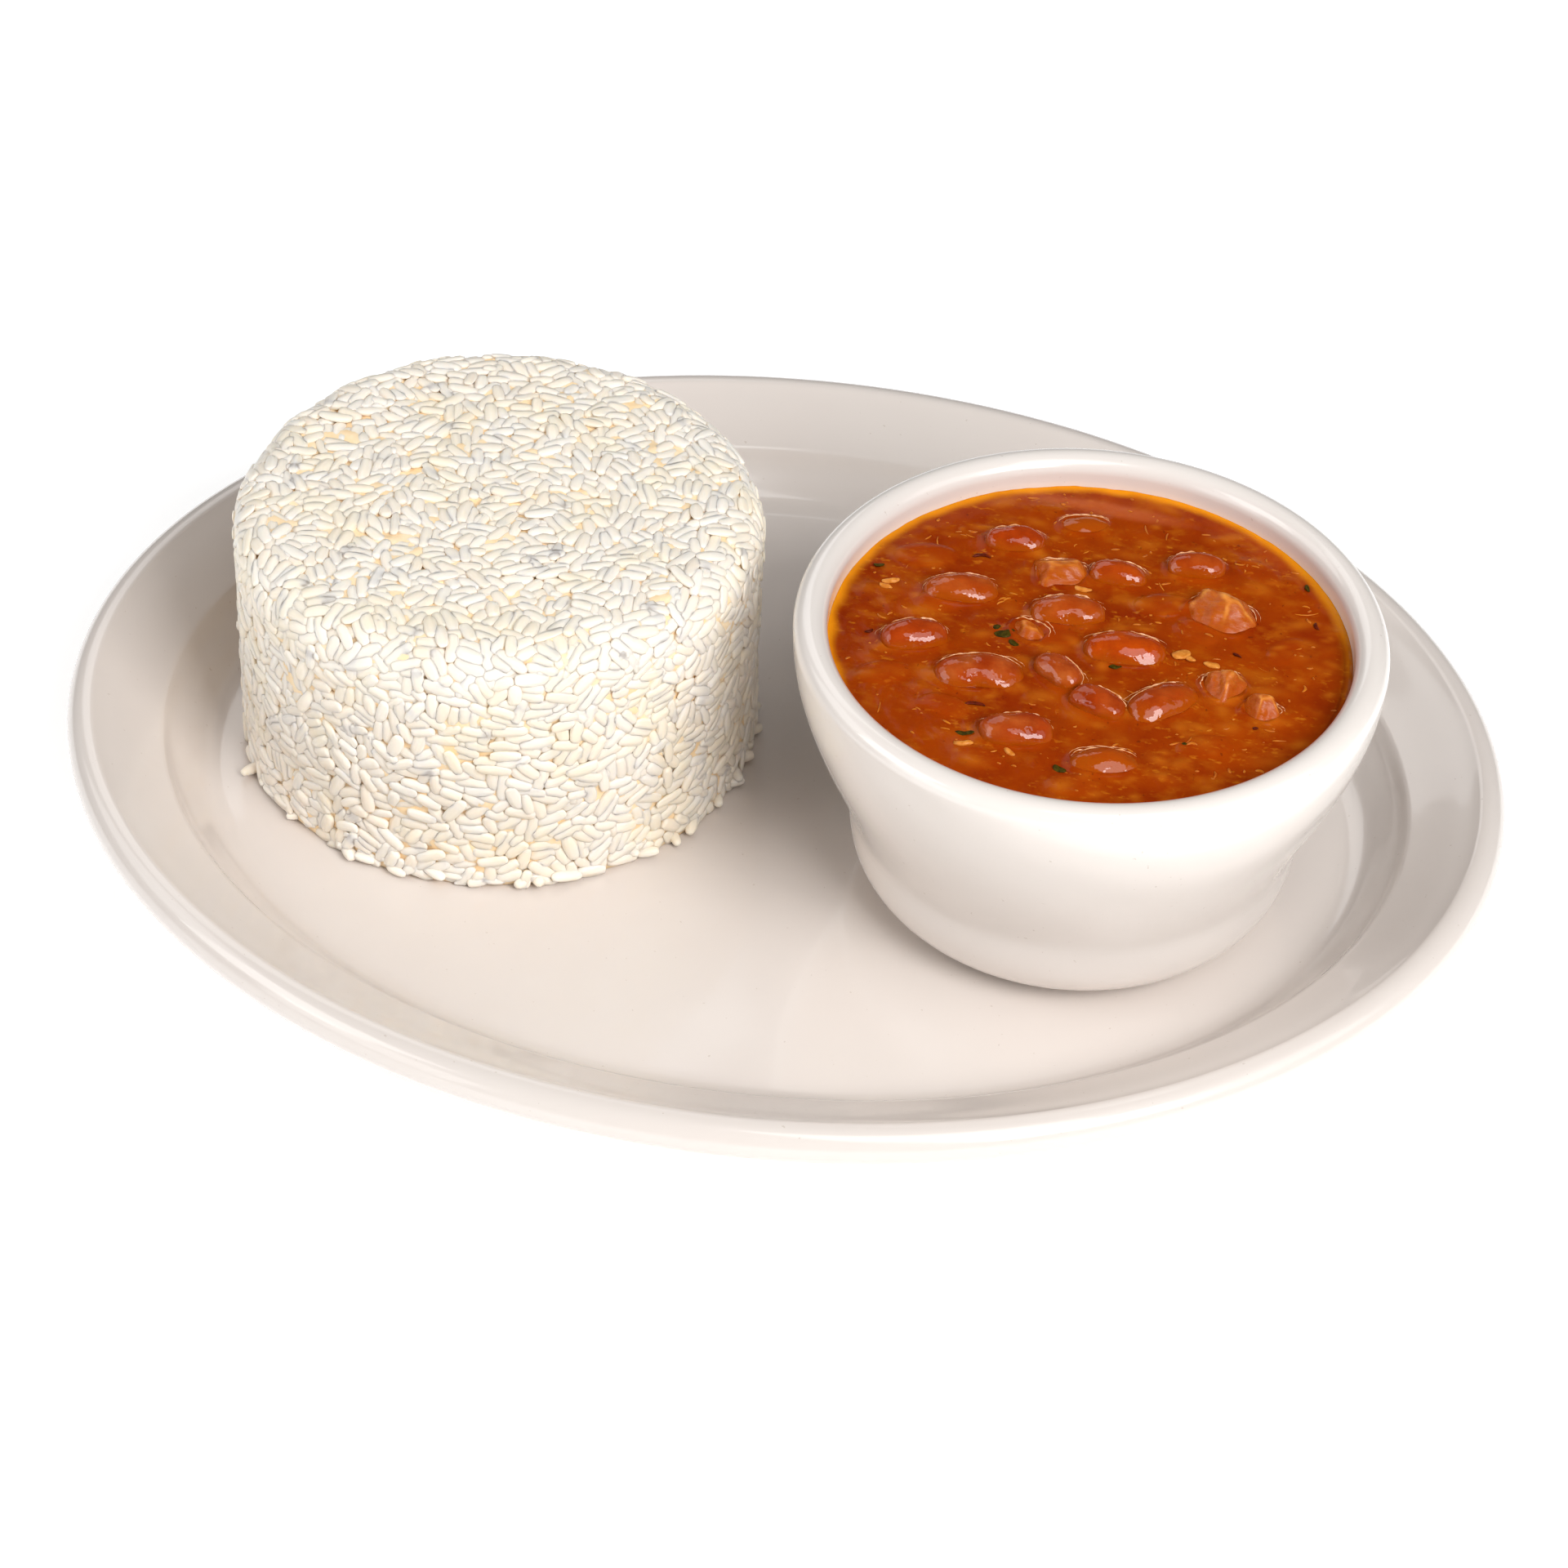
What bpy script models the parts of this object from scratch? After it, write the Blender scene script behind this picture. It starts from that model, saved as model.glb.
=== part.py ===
"""Red beans and rice: an oval rolled-edge platter that carries a moulded drum of white rice
and a bouillon bowl of red bean stew, with the beans and pieces of ham that break its surface.

Metres, +Z up. The origin is the middle of the platter on the table, X runs along the platter.
"""
import math

import bmesh
import bpy
from mathutils import Matrix, Vector, noise

MM = 0.001
GAP = 0.3 * MM

# Platter: half length, half width, and its levels above the table.
PLATTER_HALF_LENGTH = 130 * MM
PLATTER_HALF_WIDTH = 105.5 * MM
PLATTER_FLOOR = 8.0 * MM
PLATTER_EDGE = 20.2 * MM
PLATTER_BEAD = 3.7 * MM
PLATTER_UNDERSIDE = 2.2 * MM
WELL_EDGE_INSET = 17 * MM
WELL_EDGE_DROP = 3.4 * MM
FLOOR_INSET = 28 * MM
FOOT_INSET = 31 * MM
FOOT_WIDTH = 3.5 * MM
PLATTER_SIDES = 60

# Bowl: a bouillon cup that stands in the right half of the platter.
BOWL_X, BOWL_Y = 54.4 * MM, -12.4 * MM
BOWL_HEIGHT = 57 * MM
BOWL_RIM_RADIUS = 48.0 * MM
BOWL_BEAD = 2.85 * MM
BOWL_FOOT_RADIUS = 30 * MM
BOWL_WAIST_RADIUS = 39.6 * MM
BOWL_WAIST_HEIGHT = 17 * MM
BOWL_WALL = 4.6 * MM
BOWL_SIDES = 48

# Stew: its level below the top of the bowl's rim.
STEW_DROP = 5.7 * MM

# Rice: a drum pressed in a mould and turned out in the left half of the platter.
RICE_X, RICE_Y = -53.9 * MM, 6.5 * MM
RICE_RADIUS = 47.2 * MM
RICE_HEIGHT = 51.6 * MM
RICE_EDGE = 7.5 * MM
RICE_UNEVEN = 0.5 * MM
RICE_SIDES = 44

# Beans: place from the bowl's axis (mm), length (mm), turn (degrees), height above the stew (mm).
BEANS = (
    (-16.5, 25.0, 10.4, 8, 2.9),
    (-5.2, 32.5, 11.0, 10, 1.2),
    (2.3, 19.3, 10.0, 2, 2.9),
    (15.5, 24.5, 10.0, 4, 3.0),
    (-23.7, 9.0, 13.0, 13, 3.0),
    (-4.7, 7.0, 12.8, 10, 3.2),
    (-29.6, -5.3, 11.4, 18, 3.4),
    (6.1, -1.0, 14.2, 6, 3.1),
    (-17.4, -12.5, 15.4, 10, 3.1),
    (-4.5, -9.3, 9.4, -38, 3.2),
    (3.2, -16.0, 10.0, -22, 3.1),
    (14.3, -13.3, 13.4, 42, 2.8),
    (-9.0, -26.2, 12.4, 12, 3.3),
    (6.4, -30.4, 12.2, 10, 1.9),
)
BEAN_WIDTH_SHARE = 0.66
BEAN_DEPTH_SHARE = 0.54
BEAN_BEND = 0.035

# Ham: place from the bowl's axis, width, breadth, height above the stew (mm), turn (degrees),
# and how far the top leans from the base along its own X and Y (mm).
HAM = (
    (-7.4, 18.3, 8.4, 7.2, 2.6, 6, 0.4, 0.2),
    (21.0, 12.8, 11.4, 9.2, 3.8, -18, -1.2, 0.6),
    (23.7, -6.2, 7.2, 7.0, 3.2, 30, 0.6, 0.5),
    (30.4, -11.1, 6.2, 5.4, 3.2, -24, 0.4, 0.9),
    (-10.7, 1.4, 7.0, 5.0, 1.6, -30, 0.3, 0.0),
)
HAM_DEPTH = 4.2 * MM

BOWL_BASE = PLATTER_FLOOR + GAP
BOWL_TOP = BOWL_BASE + BOWL_HEIGHT
STEW_LEVEL = BOWL_TOP - STEW_DROP


def clear_scene():
    for item in list(bpy.data.objects):
        bpy.data.objects.remove(item, do_unlink=True)


def material(name, colour, roughness):
    made = bpy.data.materials.new(name)
    made.use_nodes = True
    shader = made.node_tree.nodes["Principled BSDF"]
    shader.inputs["Base Color"].default_value = (*colour, 1)
    shader.inputs["Roughness"].default_value = roughness
    shader.inputs["Metallic"].default_value = 0
    made.diffuse_color = (*colour, 1)
    return made


def new_object(name, bm, finish, sharp_degrees=40):
    """Puts the bmesh into an object of its own, with its faces out and shaded smooth."""
    bmesh.ops.recalc_face_normals(bm, faces=bm.faces[:])
    mesh = bpy.data.meshes.new(name)
    bm.to_mesh(mesh)
    bm.free()
    mesh.shade_smooth()
    mesh.set_sharp_from_angle(angle=math.radians(sharp_degrees))
    mesh.materials.append(finish)
    item = bpy.data.objects.new(name, mesh)
    bpy.context.scene.collection.objects.link(item)
    return item


def add_ring(bm, sides, half_x, half_y, height):
    """One oval ring of vertices at a height, in order round the Z axis."""
    size = Matrix.Diagonal((half_x, half_y, 1, 1))
    lift = Matrix.Translation((0, 0, height))
    return bmesh.ops.create_circle(bm, segments=sides, radius=1, matrix=lift @ size)["verts"]


def turned_solid(sides, rings):
    """A closed solid from rings (half_x, half_y, height), capped at the first and the last."""
    bm = bmesh.new()
    stack = [add_ring(bm, sides, *ring) for ring in rings]
    for ring, following in zip(stack, stack[1:]):
        for i in range(sides):
            j = (i + 1) % sides
            bm.faces.new((ring[i], ring[j], following[j], following[i]))
    for ring in (stack[0], stack[-1]):
        bm.faces.new(ring)
    return bm


def arc(centre, radius, start, end, steps):
    """Points (across, up) on a round arc between two angles in degrees, both ends included."""
    angles = [math.radians(start + (end - start) * i / steps) for i in range(steps + 1)]
    return [(centre[0] + radius * math.cos(a), centre[1] + radius * math.sin(a)) for a in angles]


def platter_profile():
    """(inset from the outer edge, height) from the underside's middle round to the floor."""
    foot_end = FOOT_INSET + FOOT_WIDTH
    under = [
        (foot_end + 1.2 * MM, PLATTER_UNDERSIDE),
        (foot_end, 0),
        (FOOT_INSET, 0),
        (FOOT_INSET - 1.2 * MM, PLATTER_UNDERSIDE),
        (WELL_EDGE_INSET + 4.5 * MM, PLATTER_UNDERSIDE + 4.0 * MM),
        (WELL_EDGE_INSET - 0.5 * MM, PLATTER_EDGE - 9.4 * MM),
    ]
    bead = arc((PLATTER_BEAD, PLATTER_EDGE), PLATTER_BEAD, 245, 75, 5)
    well_edge = (WELL_EDGE_INSET, PLATTER_EDGE - WELL_EDGE_DROP)
    slope = [
        (PLATTER_BEAD + 4.8 * MM, PLATTER_EDGE + 1.3 * MM),
        well_edge,
        (well_edge[0] + 4 * MM, PLATTER_FLOOR + 3.4 * MM),
        (well_edge[0] + 7 * MM, PLATTER_FLOOR + 0.9 * MM),
        (FLOOR_INSET, PLATTER_FLOOR),
    ]
    return under + bead + slope


def make_platter(finish):
    rings = [
        (PLATTER_HALF_LENGTH - inset, PLATTER_HALF_WIDTH - inset, height)
        for inset, height in platter_profile()
    ]
    return new_object("platter", turned_solid(PLATTER_SIDES, rings), finish, 32)


def bowl_outer_radius(height):
    """Radius of the outside at a height above the foot: a round belly, a waist and a flare."""
    if height < BOWL_WAIST_HEIGHT:
        share = 1 - height / BOWL_WAIST_HEIGHT
        return BOWL_WAIST_RADIUS - (BOWL_WAIST_RADIUS - BOWL_FOOT_RADIUS) * share**3.2
    share = (height - BOWL_WAIST_HEIGHT) / (BOWL_HEIGHT - BOWL_BEAD - BOWL_WAIST_HEIGHT)
    flare = BOWL_RIM_RADIUS + BOWL_BEAD - BOWL_WAIST_RADIUS
    return BOWL_WAIST_RADIUS + flare * math.sin(share * math.pi / 2) ** 1.25


def bowl_inner_radius(height):
    """Radius of the inside at a height above the foot, a wall's thickness in."""
    return bowl_outer_radius(height) - BOWL_WALL - (BOWL_BEAD * 2 - BOWL_WALL) * height / BOWL_HEIGHT


def bowl_hollow():
    """(radius, height above the foot) of the inside, from the middle of its floor up the wall."""
    floor = [(BOWL_FOOT_RADIUS - 10 * MM, 5.5 * MM), (BOWL_FOOT_RADIUS - 4 * MM, 6.2 * MM)]
    return floor + [(bowl_inner_radius(h * MM), h * MM) for h in (10, 18, 30, 42)]


def bowl_profile():
    """(radius, height above the foot) from the underside's middle, over the rim, to the inside."""
    foot = [(BOWL_FOOT_RADIUS - 5 * MM, 1.2 * MM), (BOWL_FOOT_RADIUS - 4 * MM, 0)]
    outside = [(bowl_outer_radius(h * MM), h * MM) for h in (0, 2, 6, 11, 17, 25, 34, 44)]
    rim = arc((BOWL_RIM_RADIUS, BOWL_HEIGHT - BOWL_BEAD), BOWL_BEAD, 0, 180, 6)
    return foot + outside + rim + bowl_hollow()[::-1]


def make_bowl(finish):
    rings = [(radius, radius, height) for radius, height in bowl_profile()]
    bowl = new_object("bowl", turned_solid(BOWL_SIDES, rings), finish, 32)
    bowl.location = (BOWL_X, BOWL_Y, BOWL_BASE)
    return bowl


def bean_mesh(length):
    """A kidney bean: an oval ball whose ends bend to one side and whose waist is pinched there."""
    bm = bmesh.new()
    bmesh.ops.create_uvsphere(bm, u_segments=7, v_segments=10, radius=1)
    # The ball's poles become the bean's two ends.
    bmesh.ops.rotate(bm, cent=(0, 0, 0), matrix=Matrix.Rotation(math.pi / 2, 3, "Y"), verts=bm.verts)
    width, depth = length * BEAN_WIDTH_SHARE, length * BEAN_DEPTH_SHARE
    for vert in bm.verts:
        along, across, up = vert.co
        pinch = 0.11 * math.exp(-((along / 0.32) ** 2)) * max(0, -across)
        side = across * width / 2 + pinch * width - BEAN_BEND * length * (along**2 - 0.4)
        vert.co = (along * length / 2, side, up * depth / 2)
    return bm


def chunk_mesh(width, breadth, height, lean_x, lean_y):
    """A torn chunk of ham: a block that narrows to a leaning, blunt ridge, with worn edges."""
    bm = bmesh.new()
    bmesh.ops.create_cube(bm, size=1)
    for vert in bm.verts:
        across, along, up = vert.co
        narrow = 0.45 if up > 0 else 1
        ridge = 0.8 if up > 0 else 1
        vert.co = (
            across * width * ridge + (lean_x * MM if up > 0 else 0),
            along * breadth * narrow + (lean_y * MM if up > 0 else 0),
            height if up > 0 else -HAM_DEPTH,
        )
    bmesh.ops.bevel(
        bm, geom=bm.edges[:], offset=0.7 * MM, segments=1, affect="EDGES", clamp_overlap=True
    )
    return bm


def grown(bm, by):
    """The same shape with every face moved out by a distance."""
    bmesh.ops.recalc_face_normals(bm, faces=bm.faces[:])
    bm.normal_update()
    for vert in bm.verts:
        vert.co += vert.normal * by * vert.calc_shell_factor()
    return bm


def place_in_stew(item, x, y, height, turn):
    item.location = (BOWL_X + x * MM, BOWL_Y + y * MM, height)
    item.rotation_euler = (0, 0, math.radians(turn))


def hide_cutter(item):
    item.hide_render = True
    item.display_type = "WIRE"
    return item


def make_bean(number, place, finish):
    """One bean, and the cutter of the socket that it leaves in the stew."""
    x, y, length, turn, proud = place
    level = STEW_LEVEL + proud * MM - length * MM * BEAN_DEPTH_SHARE / 2
    bean = new_object(f"bean_{number:02d}", bean_mesh(length * MM), finish, 60)
    cutter = new_object(f"bean_socket_{number:02d}", grown(bean_mesh(length * MM), GAP), finish)
    for item in (bean, cutter):
        place_in_stew(item, x, y, level, turn)
    return hide_cutter(cutter)


def make_ham(number, place, finish):
    """One chunk of ham, and the cutter of its socket."""
    x, y, width, breadth, proud, turn, lean_x, lean_y = place
    sizes = (width * MM, breadth * MM, proud * MM, lean_x, lean_y)
    ham = new_object(f"ham_{number:02d}", chunk_mesh(*sizes), finish, 30)
    cutter = new_object(f"ham_socket_{number:02d}", grown(chunk_mesh(*sizes), GAP), finish)
    for item in (ham, cutter):
        place_in_stew(item, x, y, STEW_LEVEL, turn)
    return hide_cutter(cutter)


def make_stew(finish, cutters):
    """The stew up to its level, a gap inside the bowl, with a socket for each piece in it."""
    floor, sides = bowl_hollow()[:2], bowl_hollow()[2:]
    last_radius, last_height = sides[-1]
    top = BOWL_HEIGHT - STEW_DROP
    share = (top - last_height) / (BOWL_HEIGHT - BOWL_BEAD - last_height)
    top_radius = last_radius + (BOWL_RIM_RADIUS - BOWL_BEAD - last_radius) * share
    profile = [(radius - GAP, height + GAP) for radius, height in floor]
    profile += [(radius - GAP, height) for radius, height in sides + [(top_radius, top)]]
    rings = [(radius, radius, height) for radius, height in profile]
    stew = new_object("stew", turned_solid(BOWL_SIDES, rings), finish)
    stew.location = (BOWL_X, BOWL_Y, BOWL_BASE)
    for cutter in cutters:
        cut = stew.modifiers.new(cutter.name, "BOOLEAN")
        cut.operation = "DIFFERENCE"
        cut.object = cutter
    return stew


def make_rice(finish):
    """The drum of rice out to its uneven outline, with a round top edge and a ragged foot."""
    body = RICE_HEIGHT - RICE_EDGE
    profile = [(RICE_RADIUS - 0.8 * MM, 0), (RICE_RADIUS, 1.5 * MM)]
    profile += [(RICE_RADIUS, body * share) for share in (0.3, 0.65)]
    profile += arc((RICE_RADIUS - RICE_EDGE, body), RICE_EDGE, 0, 90, 4)
    profile += [(RICE_RADIUS * share, RICE_HEIGHT) for share in (0.6, 0.3)]
    rings = [(radius, radius, height) for radius, height in profile]
    bm = turned_solid(RICE_SIDES, rings)
    for vert in bm.verts:
        if vert.co.z < GAP:
            continue
        push = noise.noise(vert.co / (9 * MM)) * RICE_UNEVEN
        vert.co += Vector((vert.co.x, vert.co.y, vert.co.z - body / 2)).normalized() * push
    rice = new_object("rice", bm, finish, 50)
    rice.location = (RICE_X, RICE_Y, PLATTER_FLOOR + GAP)
    return rice


def main():
    clear_scene()
    glaze = material("platter_glaze", (0.80, 0.74, 0.68), 0.18)
    bowl_glaze = material("bowl_glaze", (0.86, 0.82, 0.78), 0.16)
    grain = material("cooked_rice", (0.86, 0.78, 0.66), 0.45)
    sauce = material("bean_stew", (0.42, 0.075, 0.006), 0.18)
    bean_skin = material("bean_skin", (0.36, 0.06, 0.03), 0.25)
    ham_meat = material("ham_meat", (0.60, 0.22, 0.10), 0.35)
    make_platter(glaze)
    make_bowl(bowl_glaze)
    make_rice(grain)
    cutters = [make_bean(number, place, bean_skin) for number, place in enumerate(BEANS, 1)]
    cutters += [make_ham(number, place, ham_meat) for number, place in enumerate(HAM, 1)]
    make_stew(sauce, cutters)


main()
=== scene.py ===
"""The finished look of a plate of red beans and rice, built round its packed frame.

Every piece is a surface worked out on a grid with numpy, in the frame's own place and size.
"""
import math

import bpy
import numpy as np
from mathutils import Matrix, Vector


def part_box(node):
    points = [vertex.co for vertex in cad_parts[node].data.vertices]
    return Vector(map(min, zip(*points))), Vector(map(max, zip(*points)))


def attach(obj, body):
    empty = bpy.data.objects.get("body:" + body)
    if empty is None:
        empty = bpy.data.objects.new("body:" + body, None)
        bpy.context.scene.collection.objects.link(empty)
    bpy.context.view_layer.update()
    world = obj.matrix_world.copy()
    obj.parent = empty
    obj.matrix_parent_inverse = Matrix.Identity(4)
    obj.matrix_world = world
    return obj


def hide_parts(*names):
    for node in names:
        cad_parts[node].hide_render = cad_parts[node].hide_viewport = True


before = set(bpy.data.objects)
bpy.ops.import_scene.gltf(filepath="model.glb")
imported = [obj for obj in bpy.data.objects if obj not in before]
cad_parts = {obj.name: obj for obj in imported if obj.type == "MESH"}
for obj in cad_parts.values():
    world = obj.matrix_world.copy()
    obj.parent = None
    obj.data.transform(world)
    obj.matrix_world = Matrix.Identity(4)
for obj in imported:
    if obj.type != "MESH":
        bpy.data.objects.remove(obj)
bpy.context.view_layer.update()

bl_info = {
    "name": "Red beans and rice plate",
    "version": (1, 0, 0),
    "blender": (4, 5, 0),
    "location": "View3D > Sidebar > Plate",
    "description": "Builds the finished look of a plate of red beans and rice round its frame",
    "category": "Add Mesh",
}

MM = 0.001


def middle(node):
    """The middle of a node's box, as an array."""
    low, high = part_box(node)
    return (np.array(low) + np.array(high)) / 2


def extent(node):
    """The size of a node's box along X, Y and Z, as an array."""
    low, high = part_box(node)
    return np.array(high) - np.array(low)


def top_of(node):
    """The height of a node's top."""
    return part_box(node)[1].z


def bottom_of(node):
    """The height of a node's underside."""
    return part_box(node)[0].z


# Places and sizes of the large pieces, read from the frame.
PLATTER_HALF = extent("platter") / 2
PLATTER_TOP = top_of("platter")
BOWL_AXIS = middle("bowl")
BOWL_HEIGHT = extent("bowl")[2]
BOWL_RADIUS = extent("bowl")[0] / 2
BOWL_BASE = bottom_of("bowl")
BOWL_ORIGIN = np.array([BOWL_AXIS[0], BOWL_AXIS[1], BOWL_BASE])
STEW_LEVEL = top_of("stew")
RICE_AXIS = middle("rice")
RICE_BASE = bottom_of("rice")
RICE_ORIGIN = np.array([RICE_AXIS[0], RICE_AXIS[1], RICE_BASE])
RICE_HEIGHT = 51.6 * MM
RICE_RADIUS = 47.2 * MM
RICE_EDGE = 7.5 * MM
PLATTER_SHADE = (0.70, 0.635, 0.59)
BOWL_SHADE = (0.78, 0.72, 0.675)

BEANS = sorted(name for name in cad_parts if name.startswith("bean_"))
HAM = sorted(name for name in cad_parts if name.startswith("ham_"))


# ---------------------------------------------------------------- shapes

def wave_field(points, size, seed, waves=20):
    """A smooth random field, about -1 to 1: the sum of plane waves that run in seeded random
    directions, each with a wavelength near the given size."""
    rng = np.random.default_rng(seed)
    directions = rng.normal(size=(points.shape[-1], waves))
    directions /= np.linalg.norm(directions, axis=0)
    steps = 2 * np.pi / (size * rng.uniform(0.7, 1.5, waves))
    phases = rng.uniform(0, 2 * np.pi, waves)
    return np.cos(points @ (directions * steps) + phases).sum(-1) / math.sqrt(waves * 1.3)


def smooth_step(low, high, value):
    """0 below low, 1 above high, and the cubic 3t^2 - 2t^3 between them."""
    t = np.clip((value - low) / (high - low), 0, 1)
    return t * t * (3 - 2 * t)


def smooth_path(points, steps):
    """A cubic through the given points (Catmull-Rom: each tangent is half the chord between
    a point's neighbours), with a number of steps in each span."""
    given = np.asarray(points, float)
    padded = np.concatenate([2 * given[:1] - given[1:2], given, 2 * given[-1:] - given[-2:-1]])
    t = np.linspace(0, 1, steps, endpoint=False)[:, None]
    before, here = padded[:-3, None], padded[1:-2, None]
    there, after = padded[2:-1, None], padded[3:, None]
    spans = 0.5 * (
        2 * here
        + (there - before) * t
        + (2 * before - 5 * here + 4 * there - after) * t**2
        + (3 * here - before - 3 * there + after) * t**3
    )
    return np.concatenate([spans.reshape(-1, given.shape[1]), given[-1:]])


def arc(centre, radius, start, end, steps):
    """Points on a round arc between two angles in degrees, both ends included."""
    angle = np.radians(np.linspace(start, end, steps + 1))
    return np.stack([centre[0] + radius * np.cos(angle), centre[1] + radius * np.sin(angle)], 1)


def stack_faces(rows, sides):
    """Quads between the rows of a stack of rings, and the fans that close it at its two poles,
    whose indices follow the rings. Faces point out where the rings run anticlockwise."""
    here = np.arange(rows * sides).reshape(rows, sides)
    there = np.roll(here, -1, axis=1)
    quads = np.stack([here[:-1], there[:-1], there[1:], here[1:]], -1).reshape(-1, 4)
    first, last = rows * sides, rows * sides + 1
    fan_first = np.stack([np.full(sides, first), there[0], here[0]], -1)
    fan_last = np.stack([here[-1], there[-1], np.full(sides, last)], -1)
    return quads, np.concatenate([fan_first, fan_last])


def grid_faces(index):
    """Quads over a grid of point indices."""
    corners = [index[:-1, :-1], index[1:, :-1], index[1:, 1:], index[:-1, 1:]]
    return np.stack(corners, -1).reshape(-1, 4)


def repeated(faces, copies, points):
    """The faces of one body for each of many copies whose points follow one another."""
    shift = (np.arange(copies) * points)[:, None, None]
    return (faces + shift).reshape(-1, faces.shape[1])


def in_frame(dx, dy, turn):
    """Distances along and across a direction in radians."""
    return (dx * math.cos(turn) + dy * math.sin(turn), dy * math.cos(turn) - dx * math.sin(turn))


def mesh_from(name, points, quads, triangles, **values):
    """A smooth mesh from arrays of points and faces, with a float attribute for each value."""
    mesh = bpy.data.meshes.new(name)
    flat = np.asarray(points, np.float32).reshape(-1, 3)
    mesh.vertices.add(len(flat))
    mesh.vertices.foreach_set("co", flat.ravel())
    corners = np.concatenate([quads.ravel(), triangles.ravel()]).astype(np.int32)
    starts = [np.arange(len(quads)) * 4, len(quads) * 4 + np.arange(len(triangles)) * 3]
    mesh.loops.add(len(corners))
    mesh.loops.foreach_set("vertex_index", corners)
    mesh.polygons.add(len(quads) + len(triangles))
    mesh.polygons.foreach_set("loop_start", np.concatenate(starts).astype(np.int32))
    mesh.update(calc_edges=True)
    mesh.shade_smooth()
    for key, value in values.items():
        attribute = mesh.attributes.new(key, "FLOAT", "POINT")
        attribute.data.foreach_set("value", np.asarray(value, np.float32).ravel())
    return mesh


def ring_stack(name, rings, first_pole, last_pole, **values):
    """A closed skin over rings of points (rows, sides, 3) and a pole at each end."""
    rows, sides = rings.shape[:2]
    points = np.concatenate([rings.reshape(-1, 3), [first_pole, last_pole]])
    return mesh_from(name, points, *stack_faces(rows, sides), **values)


def turned_rings(profile, sides, half_x=0.0, half_y=0.0):
    """Rings of a turned shape from (radius, height); half_x and half_y, where given, are the
    half sizes of an oval whose first column is then the distance in from its edge."""
    turn = np.linspace(0, 2 * np.pi, sides, endpoint=False)
    across, up = profile[:, :1], profile[:, 1:]
    wide = half_x - across if half_x else across
    deep = half_y - across if half_y else across
    return np.stack([wide * np.cos(turn), deep * np.sin(turn), up + 0 * turn], -1)


def add_piece(mesh, finish, slot, *nodes):
    """Makes the object, at the origin, that rides on the frame and stands for its nodes."""
    mesh.materials.append(finish)
    piece = bpy.data.objects.new(mesh.name, mesh)
    bpy.context.scene.collection.objects.link(piece)
    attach(piece, "root")
    if nodes:
        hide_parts(*nodes)


def spindles(centres, axes, lengths, widths, depths, bends, rows=6, sides=7, fullness=0.75):
    """Many small bodies at once, each an oval section carried along a bent line. The section's
    size is sin(u)^fullness from pole to pole, and the line is a parabola of the given bend.
    axes holds, for each body, its long, wide and deep directions as rows."""
    u = np.linspace(0, np.pi, rows + 2)
    along, size = -np.cos(u), np.sin(u) ** fullness
    v = np.linspace(0, 2 * np.pi, sides, endpoint=False)
    x, size = along[1:-1, None] + 0 * v, size[1:-1, None]
    ring = np.stack([x, size * np.cos(v), size * np.sin(v)], -1)
    poles = np.array([[-1.0, 0, 0], [1.0, 0, 0]])
    unit = np.concatenate([ring.reshape(-1, 3), poles])
    x = unit[None, :, 0] * lengths[:, None] / 2
    y = unit[None, :, 1] * widths[:, None] / 2
    y = y + (bends * lengths)[:, None] * (unit[None, :, 0] ** 2 - 1 / 3)
    z = unit[None, :, 2] * depths[:, None] / 2
    points = np.stack([x, y, z], -1) @ axes + centres[:, None]
    quads, triangles = stack_faces(rows, sides)
    copies, size = len(centres), len(unit)
    return points, repeated(quads, copies, size), repeated(triangles, copies, size)


def turned_axes(long_way, up_way):
    """Long, wide and deep directions from a long direction and a rough up direction."""
    long_way = long_way / np.linalg.norm(long_way, axis=-1, keepdims=True)
    wide = np.cross(up_way, long_way)
    wide = wide / np.linalg.norm(wide, axis=-1, keepdims=True)
    return np.stack([long_way, wide, np.cross(long_way, wide)], 1)


def lying_axes(rng, heading, tip, roll):
    """Directions of bodies that lie flat at their headings, each tipped and rolled a little."""
    count = len(heading)
    long_way = np.stack([np.cos(heading), np.sin(heading), rng.normal(0, tip, count)], 1)
    return turned_axes(long_way, np.array([0, 0, 1.0]) + roll * rng.normal(size=(count, 3)))


# ---------------------------------------------------------------- finishes

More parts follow.
